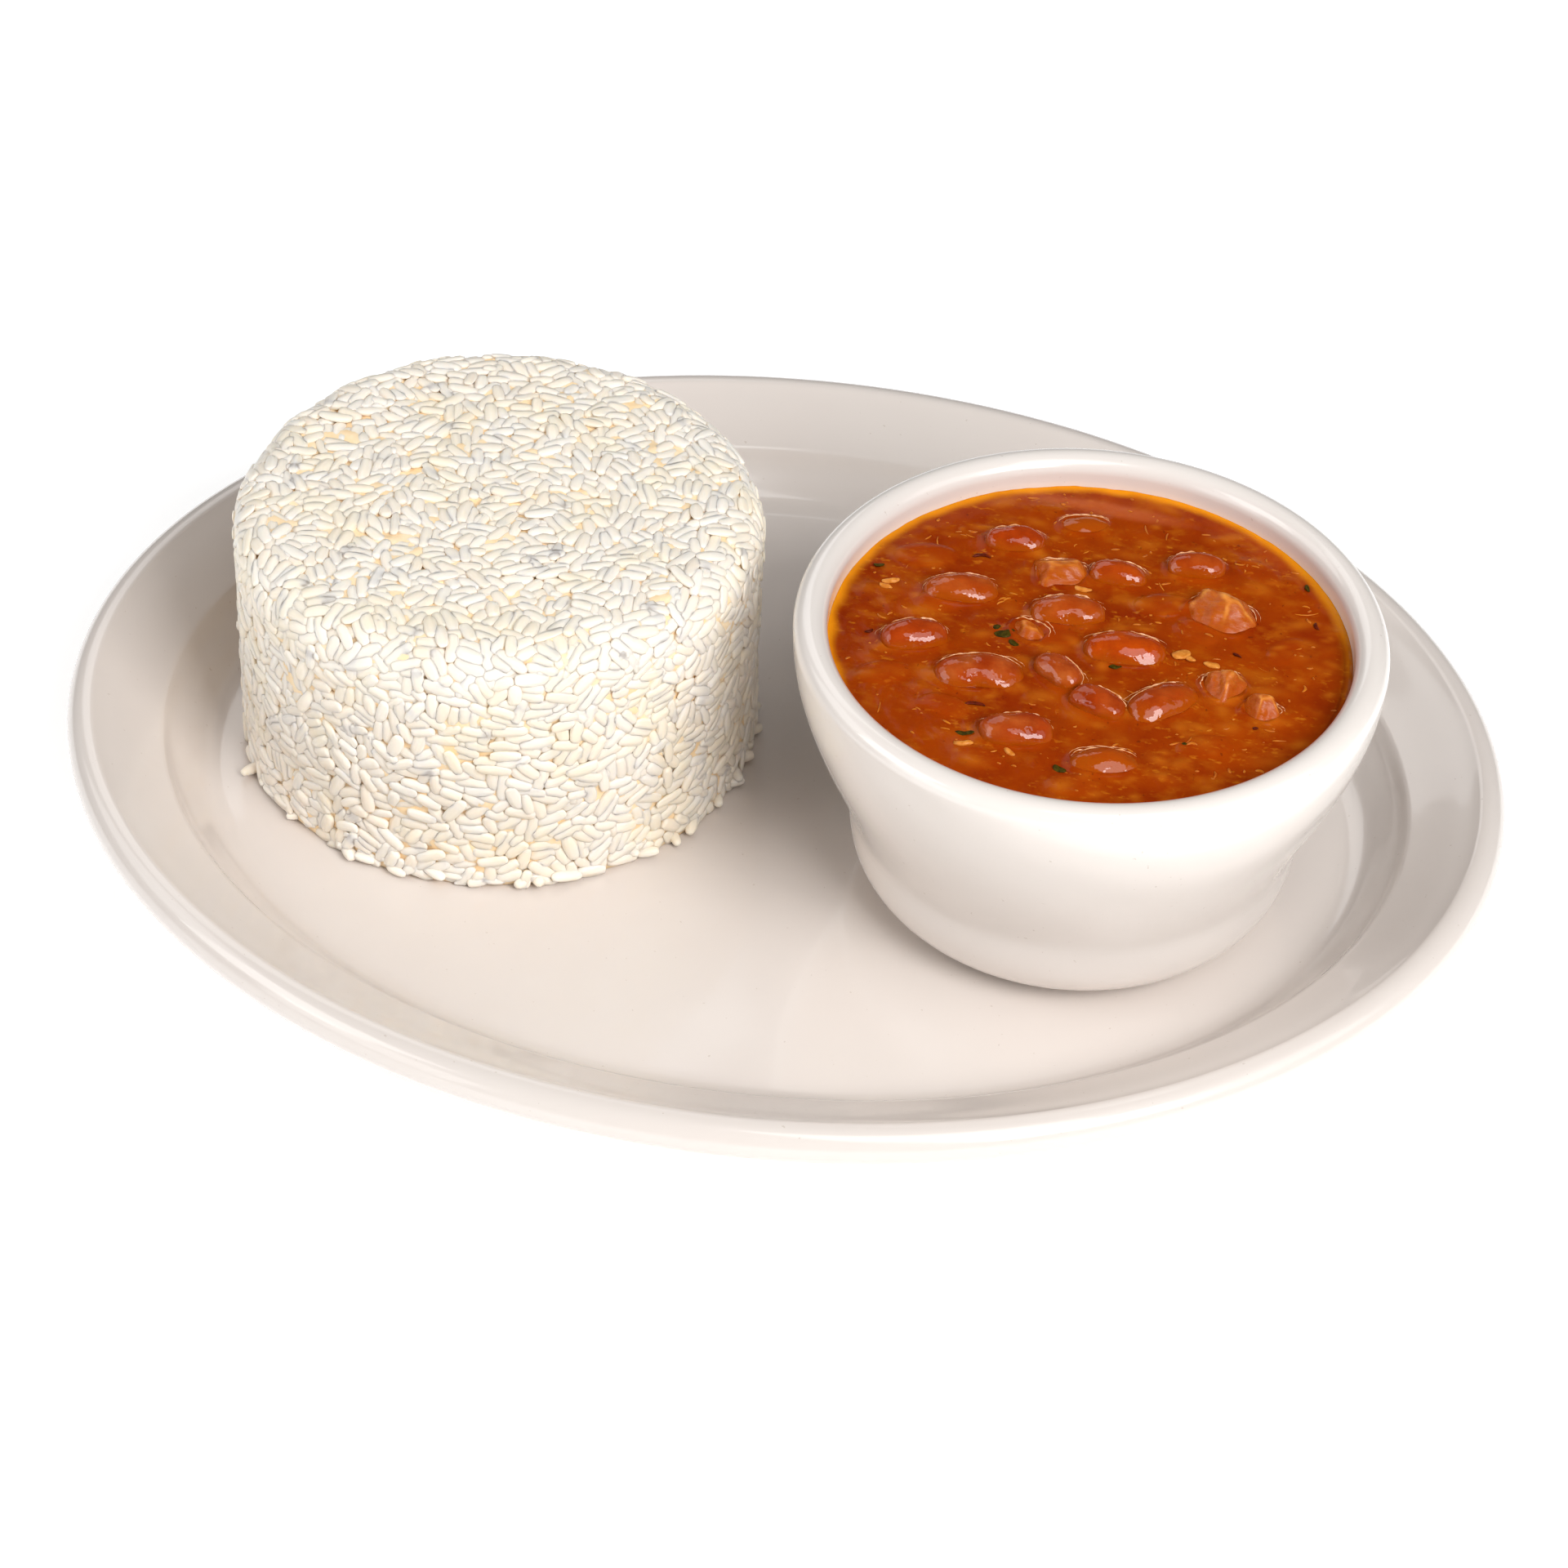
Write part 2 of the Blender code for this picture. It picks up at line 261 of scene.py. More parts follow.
class Finish:
    """A Principled finish under way, with its steady values set on the shader's own sockets."""

    def __init__(self, name, **steady):
        self.material = bpy.data.materials.new(name)
        self.material.use_nodes = True
        self.tree = self.material.node_tree
        self.shader = self.tree.nodes["Principled BSDF"]
        for key, value in steady.items():
            self.shader.inputs[key.replace("_", " ")].default_value = value

    def add(self, kind, inputs=(), **settings):
        """A shader node with its settings and its inputs, which are values or other outputs."""
        node = self.tree.nodes.new(kind)
        for key, value in settings.items():
            setattr(node, key, value)
        for key, value in dict(inputs).items():
            if isinstance(value, bpy.types.NodeSocket):
                self.tree.links.new(value, node.inputs[key])
            else:
                node.inputs[key].default_value = value
        return node

    def noise(self, size, detail=3.0, stretch=None, rough=0.55):
        """Noise with features of a size in metres, stretched by a Mapping node if asked."""
        spot = self.add("ShaderNodeTexCoord").outputs["Object"]
        if stretch:
            inputs = {"Vector": spot, "Scale": stretch}
            spot = self.add("ShaderNodeMapping", inputs).outputs[0]
        inputs = {"Vector": spot, "Scale": 1 / size, "Detail": detail, "Roughness": rough}
        return self.add("ShaderNodeTexNoise", inputs).outputs["Fac"]

    def mix(self, share, first, second):
        """A colour mixed from two, by a share from 0 to 1."""
        pair = [(*c, 1) if isinstance(c, tuple) else c for c in (first, second)]
        inputs = {0: share, 6: pair[0], 7: pair[1]}
        return self.add("ShaderNodeMix", inputs, data_type="RGBA").outputs[2]

    def read(self, name):
        """The value of one of the piece's own attributes."""
        return self.add("ShaderNodeAttribute", attribute_name=name).outputs["Fac"]

    def spread(self, value, low, high, to_low=0.0, to_high=1.0):
        """A value carried from one range to another, and held at its ends."""
        inputs = {1: low, 2: high, 3: to_low, 4: to_high, "Value": value}
        return self.add("ShaderNodeMapRange", inputs).outputs["Result"]

    def times(self, first, second):
        """The product of two values."""
        inputs = {0: first, 1: second}
        return self.add("ShaderNodeMath", inputs, operation="MULTIPLY").outputs[0]

    def feed(self, colour, rough, height, distance, strength):
        """Links a colour, a roughness if any and a bump to the shader; gives the material."""
        self.tree.links.new(colour, self.shader.inputs["Base Color"])
        if rough:
            self.tree.links.new(rough, self.shader.inputs["Roughness"])
        inputs = {"Height": height, "Distance": distance, "Strength": strength}
        normal = self.add("ShaderNodeBump", inputs).outputs["Normal"]
        self.tree.links.new(normal, self.shader.inputs["Normal"])
        return self.material


def glaze_finish(name, colour, shade):
    """Fired glaze: nearly even cream white, faintly clouded, with rare dark specks and a soft
    orange-peel surface."""
    glaze = Finish(name, Roughness=0.22, IOR=1.5, Coat_Weight=0.6, Coat_Roughness=0.06)
    cloud = glaze.spread(glaze.noise(45 * MM, 4.0), 0.35, 0.65)
    base = glaze.mix(cloud, tuple(colour), tuple(shade))
    speck = glaze.spread(glaze.noise(0.9 * MM, 1.0), 0.765, 0.80)
    base = glaze.mix(glaze.times(speck, 0.35), base, (0.42, 0.33, 0.26))
    rough = glaze.spread(glaze.noise(14 * MM), 0.3, 0.7, 0.16, 0.26)
    return glaze.feed(base, rough, glaze.noise(5 * MM, 2.0), 0.05 * MM, 0.35)


def rice_finish(name, settings, core=False):
    """Cooked rice: creamy and translucent, with tan painted shade where it lies deep between the
    grains and on the core seen between them.
    """
    rice = Finish(
        name, Roughness=0.42, IOR=1.38, Subsurface_Weight=0.0 if core else 0.6,
        Subsurface_Radius=(1.0, 0.88, 0.72), Subsurface_Scale=1.1 * MM,
        Coat_Weight=0.12, Coat_Roughness=0.25)
    if core:
        # Painted shade: the core is seen only deep between the grains, and it is coloured tan to
        # stand for the shade there.
        deep = rice.spread(rice.noise(3 * MM), 0.3, 0.7)
        base = rice.mix(deep, tuple(settings.gap_shade_colour), (0.95, 0.78, 0.54))
    else:
        grain = rice.mix(rice.read("tone"), (0.93, 0.81, 0.68), tuple(settings.grain_colour))
        cream = rice.spread(rice.noise(12 * MM, 2.0), 0.48, 0.62, 0.0, 0.6)
        grain = rice.mix(cream, grain, (0.93, 0.80, 0.62))
        # Painted shade: grains turn tan the deeper they lie under the drum's skin.
        deep = rice.spread(rice.read("sunk"), 0.6, 1.6)
        base = rice.mix(deep, grain, tuple(settings.gap_shade_colour))
    fine = rice.noise(0.7 * MM, 2.0)
    return rice.feed(base, rice.spread(fine, 0.3, 0.7, 0.34, 0.52), fine, 0.06 * MM, 0.5)


def stew_colours(stew, settings):
    """The stew's colour: burnt orange clouded with red-brown, with fine yellow-orange flecks."""
    cloud = stew.spread(stew.noise(11 * MM, 5.0, rough=0.6), 0.36, 0.66)
    base = stew.mix(cloud, tuple(settings.stew_colour), tuple(settings.stew_shade))
    drift = stew.spread(stew.noise(3.2 * MM, 3.0, (0.7, 1.0, 1.0)), 0.52, 0.70)
    base = stew.mix(stew.times(drift, 0.5), base, (0.42, 0.10, 0.004))
    fleck = stew.spread(stew.noise(1.0 * MM, 2.5, (0.6, 1.0, 1.0)), 0.58, 0.70)
    where = stew.spread(stew.noise(7 * MM, 2.0), 0.42, 0.62)
    share = stew.times(stew.times(fleck, where), 0.6)
    base = stew.mix(share, base, tuple(settings.fleck_colour))
    dark = stew.spread(stew.noise(1.1 * MM, 1.5, (1.3, 1.0, 1.0)), 0.70, 0.76)
    return stew.mix(stew.times(dark, 0.55), base, (0.09, 0.012, 0.002))


def stew_finish(name, settings):
    """Thick glossy stew; its attributes tint what lies under it and its thin edge, and paint light
    and shade: a pale painted reflection at the back, the thin edge lighter on the lit side only,
    and painted shade along the shore across from it.
    """
    stew = Finish(
        name, Roughness=0.2, IOR=1.36, Specular_IOR_Level=0.12, Subsurface_Weight=0.2,
        Subsurface_Radius=(1.0, 0.28, 0.04), Subsurface_Scale=1.6 * MM)
    base = stew_colours(stew, settings)
    # Painted light among the tints: a pale painted reflection at the back of the stew, the thin
    # edge lighter on the lit side only, and painted shade along the shore across from it.
    tints = {
        "under": (0.36, 0.045, 0.002), "bits": (0.47, 0.115, 0.006), "painted_reflection": (0.50, 0.11, 0.03),
        "thin": tuple(settings.edge_colour), "shore_shade": (0.15, 0.016, 0.002),
    }
    for key, tint in tints.items():
        base = stew.mix(stew.read(key), base, tint)
    rough = stew.spread(stew.noise(1.6 * MM, 3.0), 0.35, 0.7, 0.08, 0.22)
    return stew.feed(base, rough, stew.noise(1.3 * MM, 3.5), 0.16 * MM, 0.4)


def bean_finish(name, settings):
    """Cooked bean skin, from deep red to pinkish tan, under a film of stew where it dips in."""
    bean = Finish(
        name, Roughness=0.14, IOR=1.4, Specular_IOR_Level=0.6, Subsurface_Weight=0.1,
        Subsurface_Radius=(1.0, 0.3, 0.15), Subsurface_Scale=1.0 * MM)
    mottle = bean.spread(bean.noise(2.6 * MM, 4.0), 0.34, 0.68)
    red = bean.mix(mottle, tuple(settings.skin_colour), (0.27, 0.024, 0.001))
    pale = bean.mix(mottle, (0.47, 0.112, 0.020), (0.36, 0.062, 0.008))
    warm = bean.mix(mottle, (0.48, 0.062, 0.001), (0.35, 0.035, 0.001))
    skin = bean.mix(bean.read("warm"), bean.mix(bean.read("pale"), red, pale), warm)
    # Painted shade: near black in the waist notch of the notched bean.
    skin = bean.mix(bean.read("notch_shade"), skin, (0.035, 0.006, 0.003))
    skin = bean.mix(bean.read("film"), skin, (0.36, 0.060, 0.001))
    vein = bean.noise(1.7 * MM, 2.0, (0.8, 1.0, 1.0))
    return bean.feed(skin, bean.spread(vein, 0.3, 0.7, 0.03, 0.10), vein, 0.30 * MM, 0.6)


def ham_finish(name, settings):
    """Braised ham: tan pink with orange stain in its hollows, pale along its torn ridges."""
    ham = Finish(
        name, Roughness=0.3, IOR=1.4, Specular_IOR_Level=0.35, Subsurface_Weight=0.25,
        Subsurface_Radius=(1.0, 0.4, 0.2), Subsurface_Scale=1.2 * MM)
    grain = ham.spread(ham.noise(1.5 * MM, 4.0, (0.5, 1.2, 1.0)), 0.32, 0.68)
    meat = ham.mix(grain, tuple(settings.ham_colour), (0.38, 0.065, 0.004))
    meat = ham.mix(ham.read("ridge"), meat, (0.80, 0.30, 0.05))
    meat = ham.mix(ham.read("film"), meat, (0.42, 0.075, 0.002))
    rough = ham.spread(grain, 0.0, 1.0, 0.2, 0.4)
    return ham.feed(meat, rough, ham.noise(0.8 * MM, 4.0, (0.4, 1.2, 1.0)), 0.25 * MM, 0.6)


def bit_finish(name, light, dark, size, roughness=0.3, gloss=0.3):
    """A small wet piece whose colour wanders between two, as herbs, onion and skins do."""
    bit = Finish(name, Roughness=roughness, IOR=1.4, Specular_IOR_Level=gloss)
    cloud = bit.spread(bit.noise(size, 3.0), 0.35, 0.65)
    return bit.feed(bit.mix(cloud, light, dark), None, bit.noise(size * 0.6, 3.0), 0.12 * MM, 0.5)


# ---------------------------------------------------------------- platter and bowl

def platter_profile(settings):
    """(distance in from the outer edge, height) from the foot round the rolled edge, down the
    rim to the crease of the well and along the well's wall to the floor."""
    bead = settings.bead
    edge = PLATTER_TOP - bead
    floor = bottom_of("bowl") - 0.3 * MM
    under = 2.2 * MM
    foot = 31 * MM
    foot_end = foot + 3.5 * MM
    crease = 17 * MM
    underside = smooth_path([
        (foot_end + 1.2 * MM, under), (foot_end + 0.5 * MM, 0.5 * MM), (foot_end - 0.3 * MM, 0),
        (foot + 0.3 * MM, 0), (foot - 0.5 * MM, 0.5 * MM), (foot - 1.2 * MM, under),
    ], 4)
    flare = smooth_path([
        (foot - 1.2 * MM, under), (crease + 4.5 * MM, under + 4 * MM),
        (crease - 0.5 * MM, edge - 9.4 * MM), (bead * 1.45, edge - bead * 0.9),
    ], 6)[1:-1]
    roll = arc((bead, edge), bead, 245, 75, 20)
    rim = smooth_path([
        roll[-1], (bead + 2.6 * MM, edge + 2.55 * MM), (bead + 5.4 * MM, edge + 1.0 * MM),
        (crease - 3.5 * MM, edge - 1.55 * MM), (crease - 0.25 * MM, edge - 3.35 * MM),
    ], 5)[1:]
    wall = smooth_path([
        (crease, edge - 3.7 * MM), (crease + 1.5 * MM, edge - 6.2 * MM),
        (crease + 3.8 * MM, floor + 3.55 * MM), (crease + 6.6 * MM, floor + 1.15 * MM),
        (crease + 9.2 * MM, floor + 0.22 * MM), (crease + 11.5 * MM, floor),
    ], 5)
    profile = np.concatenate([underside, flare, roll, rim, wall])
    return np.stack([profile[:, 0], np.maximum(profile[:, 1], 0)], 1)


def platter_mesh(settings):
    """Oval rings at each point of the profile, then rings that shrink to the middle."""
    profile = platter_profile(settings)
    rings = turned_rings(profile, settings.sides, PLATTER_HALF[0], PLATTER_HALF[1])
    shrink = np.array([1.0, 1.0, 0.0])
    inner = [rings[-1] * (1 - shrink * (1 - share)) for share in (0.85, 0.65, 0.45, 0.25, 0.1)]
    outer = [rings[0] * (1 - shrink * (1 - share)) for share in (0.1, 0.3, 0.6, 0.85)]
    full = np.concatenate([outer, rings, inner])
    first, last = (0, 0, full[0, 0, 2]), (0, 0, full[-1, 0, 2])
    return ring_stack("platter_glazed", full, first, last)


BOWL_BEAD = 2.85 * MM
BOWL_FOOT = 30 * MM


def bowl_outside(height):
    """Radius of the bowl's outside at a height above its foot: a round belly below the waist,
    then a flare that follows a sine up to the rim."""
    waist, waist_height = 39.6 * MM, 17 * MM
    low = waist - (waist - BOWL_FOOT) * np.clip(1 - height / waist_height, 0, 1) ** 3.2
    share = np.clip((height - waist_height) / (BOWL_HEIGHT - BOWL_BEAD - waist_height), 0, 1)
    return low + (BOWL_RADIUS - waist) * np.sin(share * np.pi / 2) ** 1.25


def bowl_inside(height):
    """Radius of the bowl's inside: the outside less the wall, which thickens towards the rim."""
    wall, thicker = 4.85 * MM, 1.1 * MM
    return bowl_outside(height) - wall - thicker * height / BOWL_HEIGHT


def bowl_profile():
    """(radius, height above the foot) from under the foot, over the round rim, to the inside."""
    bead, foot = BOWL_BEAD, BOWL_FOOT
    under = smooth_path([
        (foot - 6 * MM, 1.4 * MM), (foot - 4.6 * MM, 0.9 * MM), (foot - 3.6 * MM, 0),
        (foot - 1.4 * MM, 0), (foot - 0.1 * MM, 0.55 * MM),
    ], 4)
    up = np.linspace(0.9 * MM, BOWL_HEIGHT - bead - 0.6 * MM, 44)
    outside = np.stack([bowl_outside(up), up], 1)
    half_rim = (BOWL_RADIUS - bowl_inside(BOWL_HEIGHT - bead)) / 2
    middle_of_rim = [BOWL_RADIUS - half_rim, BOWL_HEIGHT - bead]
    rim = arc((0, 0), 1, 0, 180, 20) * [half_rim, bead] + middle_of_rim
    down = np.linspace(BOWL_HEIGHT - bead - 0.6 * MM, 9 * MM, 40)
    inside = np.stack([bowl_inside(down), down], 1)
    floor = smooth_path([
        inside[-1], (foot - 1.5 * MM, 7.0 * MM), (foot - 5 * MM, 6.0 * MM),
        (foot - 11 * MM, 5.5 * MM),
    ], 4)[1:]
    return np.concatenate([under, outside, rim, inside, floor])


def bowl_mesh(settings):
    """The bowl's profile turned round its axis, closed at both ends."""
    rings = turned_rings(bowl_profile(), settings.sides)
    first, last = (0, 0, rings[0, 0, 2]), (0, 0, rings[-1, 0, 2])
    return ring_stack(
        "bowl_glazed", rings + BOWL_ORIGIN, first + BOWL_ORIGIN, last + BOWL_ORIGIN)


# ---------------------------------------------------------------- rice

def drum_depth(points):
    """How far points are outside the pressed drum (negative inside), and the way out of it.
    The drum is a cylinder with a round top edge: the distance to a smaller cylinder, less the
    edge's radius."""
    around = np.linalg.norm(points[..., :2], axis=-1)
    side = around - (RICE_RADIUS - RICE_EDGE)
    high = points[..., 2] - (RICE_HEIGHT - RICE_EDGE)
    corner = np.hypot(np.maximum(side, 0), np.maximum(high, 0))
    distance = corner + np.minimum(np.maximum(side, high), 0) - RICE_EDGE
    out_side = np.where(corner > 0, np.maximum(side, 0), side > high)
    out_high = np.where(corner > 0, np.maximum(high, 0), side <= high)
    length = np.maximum(np.hypot(out_side, out_high), 1e-9)
    way = points[..., :2] / np.maximum(around, 1e-9)[..., None] * (out_side / length)[..., None]
    return distance, np.concatenate([way, (out_high / length)[..., None]], -1)


def drum_profile(inset=0.0, steps=160):
    """(radius, height) down the drum from the middle of its top to its foot, evenly spaced."""
    edge = RICE_EDGE - inset
    corner = arc((RICE_RADIUS - RICE_EDGE, RICE_HEIGHT - RICE_EDGE), edge, 90, 0, 24)
    line = np.concatenate([[(0, RICE_HEIGHT - inset)], corner, [(RICE_RADIUS - inset, 0)]])
    length = np.concatenate([[0], np.cumsum(np.linalg.norm(np.diff(line, axis=0), axis=1))])
    even = np.linspace(0, length[-1], steps)
    return np.stack([np.interp(even, length, line[:, 0]), np.interp(even, length, line[:, 1])], 1)


CORE_ROWS, CORE_SIDES = 110, 280


def rice_core_mesh(settings):
    """The drum under the loose grains, drawn in, with lumps the size of pressed grains."""
    profile = drum_profile(settings.layer, CORE_ROWS)[::-1]
    rings = turned_rings(profile[:-1], CORE_SIDES)
    lumps = wave_field(rings, 3.2 * MM, 11) * 0.28 * MM + wave_field(rings, 9 * MM, 12) * 0.25 * MM
    lumps[0] = 0
    way = drum_depth(rings)[1]
    rings = rings + way * lumps[..., None]
    last = (0, 0, RICE_HEIGHT - settings.layer)
    return ring_stack("rice_core", rings + RICE_ORIGIN, RICE_ORIGIN, last + RICE_ORIGIN)


def spread_on_drum(count, low, high, rng):
    """Points spread evenly over the drum between two shares of its profile: the share down the
    profile follows the area, and the turn steps by the golden angle, both a little shaken."""
    line = drum_profile(0.0, 400)
    share = np.linspace(0, 1, len(line))
    area = np.cumsum(line[:, 0] + 0.05 * MM)
    area = area / area[-1]
    start, end = np.interp([low, high], share, area)
    picked = start + (end - start) * (np.arange(count) + 0.5) / count
    down = np.interp(picked, area, share)
    turn = np.arange(count) * np.pi * (3 - math.sqrt(5))
    shake = 0.0016 * rng.normal(size=(2, count))
    down = np.clip(down + shake[0] * 4, low, high)
    radius = np.interp(down, share, line[:, 0])
    height = np.interp(down, share, line[:, 1])
    turn = turn + shake[1] / np.maximum(radius, 2 * MM) * 0.7
    return np.stack([radius * np.cos(turn), radius * np.sin(turn), height], 1)


def near_pairs(centres, reach):
    """Pairs of grains whose middles lie nearer than a reach, each pair once."""
    block, pairs = 400, []
    for start in range(0, len(centres), block):
        gap = np.linalg.norm(centres[start:start + block, None] - centres[None], axis=-1)
        here, there = np.nonzero(gap < reach)
        once = here + start < there
        pairs.append(np.stack([here[once] + start, there[once]]))
    return np.concatenate(pairs, 1)


# Settling: each ball's radius as a share of a grain's width, how much of an overlap moves a
# grain in a round and how far at most, how much of a push turns it and how far at most
# (radians), and how strongly it is drawn to the skin and laid flat in it.
BALL_SHARE = 0.42
MOVE_SHARE, MOST_MOVE = 0.35, 0.5 * MM
TURN_SHARE, MOST_TURN = 2.5, 0.2
DRAW_SHARE, FLAT_SHARE = 0.3, 0.2
ROUNDS_A_SEARCH = 15
TINY = 1e-9


def settle_grains(centres, ways, lengths, widths, deep, rounds=60):
    """Grains pushed apart until they lie side by side. Each is three balls along its length:
    where balls of two grains overlap, half the overlap pushes each grain away and turns it,
    and after each round a grain is drawn back towards the drum's skin."""
    arm = (lengths / 2 - widths * BALL_SHARE)[:, None] * np.array([-1.0, 0.0, 1.0])
    ball = widths * BALL_SHARE
    for step in range(rounds):
        if step % ROUNDS_A_SEARCH == 0:
            first, second = near_pairs(centres, lengths.max() * 0.95 + widths.max() * 0.3)
        balls = centres[:, None] + ways[:, None] * arm[..., None]
        gap = balls[first][:, :, None] - balls[second][:, None]
        length = np.maximum(np.linalg.norm(gap, axis=-1), 1e-7)
        over = np.maximum((ball[first] + ball[second])[:, None, None] - length, 0)
        push = gap / length[..., None] * over[..., None] * 0.5
        force, turn = np.zeros_like(centres), np.zeros_like(centres)
        for who, part in ((first, push.sum(2)), (second, -push.sum(1))):
            lever = np.cross(ways[who][:, None] * arm[who][..., None], part).sum(1)
            for axis in range(3):
                force[:, axis] += np.bincount(who, part.sum(1)[:, axis], len(centres))
                turn[:, axis] += np.bincount(who, lever[:, axis], len(centres))
        size = np.linalg.norm(force, axis=1, keepdims=True)
        centres = centres + force * MOVE_SHARE * np.minimum(1, MOST_MOVE / np.maximum(size, TINY))
        spin = turn / lengths[:, None] ** 2 * TURN_SHARE
        size = np.linalg.norm(spin, axis=1, keepdims=True)
        spin *= np.minimum(1, MOST_TURN / np.maximum(size, TINY))
        ways = ways + np.cross(spin, ways)
        distance, out = drum_depth(centres)
        centres = centres - out * ((distance + deep / 2) * DRAW_SHARE)[:, None]
        ways = ways - out * (ways * out).sum(1, keepdims=True) * FLAT_SHARE
        ways = ways / np.linalg.norm(ways, axis=1, keepdims=True)
        centres[:, 2] = np.maximum(centres[:, 2], 1.0 * MM)
    return centres, ways


def lay_grains(spots, depth, settings, seed, lie=0.12, level=0.3, rounds=0):
    """Grains laid on the drum at spots, as a dictionary of arrays: each lies in the skin,
    turned at random and tipped a little, and sunk by its depth; with rounds, they settle side
    by side. A few stand a little proud."""
    rng = np.random.default_rng(seed)
    count = len(spots)
    out = drum_depth(spots)[1]
    around = np.stack([-spots[:, 1], spots[:, 0], 0 * spots[:, 0]], 1)
    around /= np.maximum(np.linalg.norm(around, axis=1, keepdims=True), TINY)
    along = np.cross(out, around)
    turn = rng.uniform(-np.pi / 2, np.pi / 2, count)
    turn = turn * (1 - level * np.abs(np.cos(turn)))
    ways = np.cos(turn)[:, None] * around + np.sin(turn)[:, None] * along
    lengths = settings.grain_length * rng.uniform(0.78, 1.24, count)
    widths = settings.grain_width * rng.uniform(0.84, 1.16, count)
    deep = widths * rng.uniform(0.74, 0.9, count)
    centres = spots - out * (deep / 2 + depth * rng.uniform(0.3, 1.7, count))[:, None]
    centres, ways = settle_grains(centres, ways, lengths, widths, deep, rounds)
    out = drum_depth(centres)[1]
    tip = rng.normal(0, lie, count)[:, None]
    ways = ways * np.cos(tip) + out * np.sin(tip)
    proud = settings.proud * rng.uniform(0, 1, count) ** 3
    proud = proud + settings.uneven * wave_field(centres, 14 * MM, 31)
    return {
        "centres": centres + out * proud[:, None],
        "axes": turned_axes(ways, out + 0.18 * rng.normal(size=(count, 3))),
        "lengths": lengths * 1.04, "widths": widths * 1.13, "deep": deep, "proud": proud,
        "bends": rng.normal(0, 0.03, count), "tone": rng.uniform(0, 1, count),
    }


def grains_mesh(name, grains, kept, rows, sides):
    """A mesh of the kept grains. What would stand out of the mould is pressed flat: a point's
    distance past the skin shrinks to three tenths."""
    some = {key: value[kept] for key, value in grains.items()}
    points, quads, triangles = spindles(
        some["centres"], some["axes"], some["lengths"], some["widths"], some["deep"], some["bends"],
        rows, sides, 0.5)
    distance, way = drum_depth(points)
    over = np.maximum(distance - some["proud"][:, None] + 0.32 * MM, 0) * 0.72
    points = points - way * over[..., None]
    distance = distance - over
    points[..., 2] = np.maximum(points[..., 2], 0.05 * MM)
    tone = np.repeat(some["tone"], points.shape[1])
    return mesh_from(name, points + RICE_ORIGIN, quads, triangles, tone=tone, sunk=-distance / MM)


def foot_grains_mesh(name, settings, seed=47):
    """Grains that lie loose against the foot of the drum, flat on the platter."""
    rng = np.random.default_rng(seed)
    count = settings.foot_grains
    turn = np.linspace(0, 2 * np.pi, count, endpoint=False) + rng.normal(0, 0.03, count)
    radius = RICE_RADIUS + rng.uniform(-2.0, 0.1, count) * MM
    high = rng.uniform(0.8, 2.4, count) * MM
    centres = np.stack([radius * np.cos(turn), radius * np.sin(turn), high], 1)
    heading = turn + np.pi / 2 + rng.normal(0, 0.75, count)
    axes = lying_axes(rng, heading, 0.12, 0.2)
    lengths = settings.grain_length * rng.uniform(0.75, 1.2, count)
    widths = settings.grain_width * rng.uniform(0.85, 1.1, count)
    bends = rng.normal(0, 0.04, count)
    parts = spindles(centres, axes, lengths, widths, widths * 0.85, bends, 7, 8, 0.55)
    points = parts[0]
    points[..., 2] = np.maximum(points[..., 2], -0.2 * MM)
    tone = np.repeat(rng.uniform(0.3, 1, count), points.shape[1])
    return mesh_from(name, points + RICE_ORIGIN, *parts[1:], tone=tone, sunk=0.3 + 0 * tone)


# ---------------------------------------------------------------- stew and what lies in it

# Bean rings: how many rings and points, how much each bends, and the depth and width of the
# hollow at the waist, which is deeper on the notched bean, whose notch is painted with shade.
NOTCHED = "bean_09"
BEAN_ROWS, BEAN_SIDES = 32, 40
BEAN_BEND = 0.035
HOLLOW, NOTCH_HOLLOW, HOLLOW_WIDTH = 0.06, 0.20, 0.26

# How each bean looks: paleness, warmth and how far the stew's film covers it.
BEAN_LOOKS = {
    "bean_01": (0.0, 0.15, 0.35), "bean_02": (0.1, 0.35, 0.8), "bean_03": (0.25, 0.5, 0.5),
    "bean_04": (0.35, 0.25, 0.5), "bean_05": (0.85, 0.3, 0.6), "bean_06": (0.85, 0.35, 0.65),
    "bean_07": (0.15, 0.1, 0.35), "bean_08": (0.1, 0.95, 0.35), "bean_09": (0.7, 0.05, 0.25),
    "bean_10": (0.9, 0.1, 0.3), "bean_11": (0.3, 0.1, 0.2), "bean_12": (0.35, 0.15, 0.6),
    "bean_13": (0.5, 0.05, 0.2), "bean_14": (0.6, 0.5, 0.85),
}

# How much fuller the finished beans and ham are than their simple solids.
BEAN_SWELL = np.array([1.02, 1.07, 1.08])
HAM_SWELL = np.array([1.16, 1.16, 1.10])

# Sunk pieces: place from the bowl's axis, length (mm), turn (degrees), rise (mm).
SUNK = (
    (-31.4, 18.5, 11.0, 10, 0.45), (-33.4, -14.7, 9.5, 20, 0.40), (-21.9, -21.1, 9.0, -8, 0.50),
    (11.1, 13.5, 10.5, 12, 0.60), (17.5, 7.5, 8.5, -20, 0.40), (-27.0, 6.0, 8.0, 5, 0.35),
    (-6.5, 1.5, 9.0, 0, 0.35), (26.0, 27.0, 9.0, -30, 0.25), (2.0, -36.5, 9.0, 5, 0.25),
    (22.0, -22.0, 9.5, 25, 0.25), (-14.0, -33.0, 8.5, -12, 0.30), (33.0, 6.0, 8.5, 60, 0.22),
)


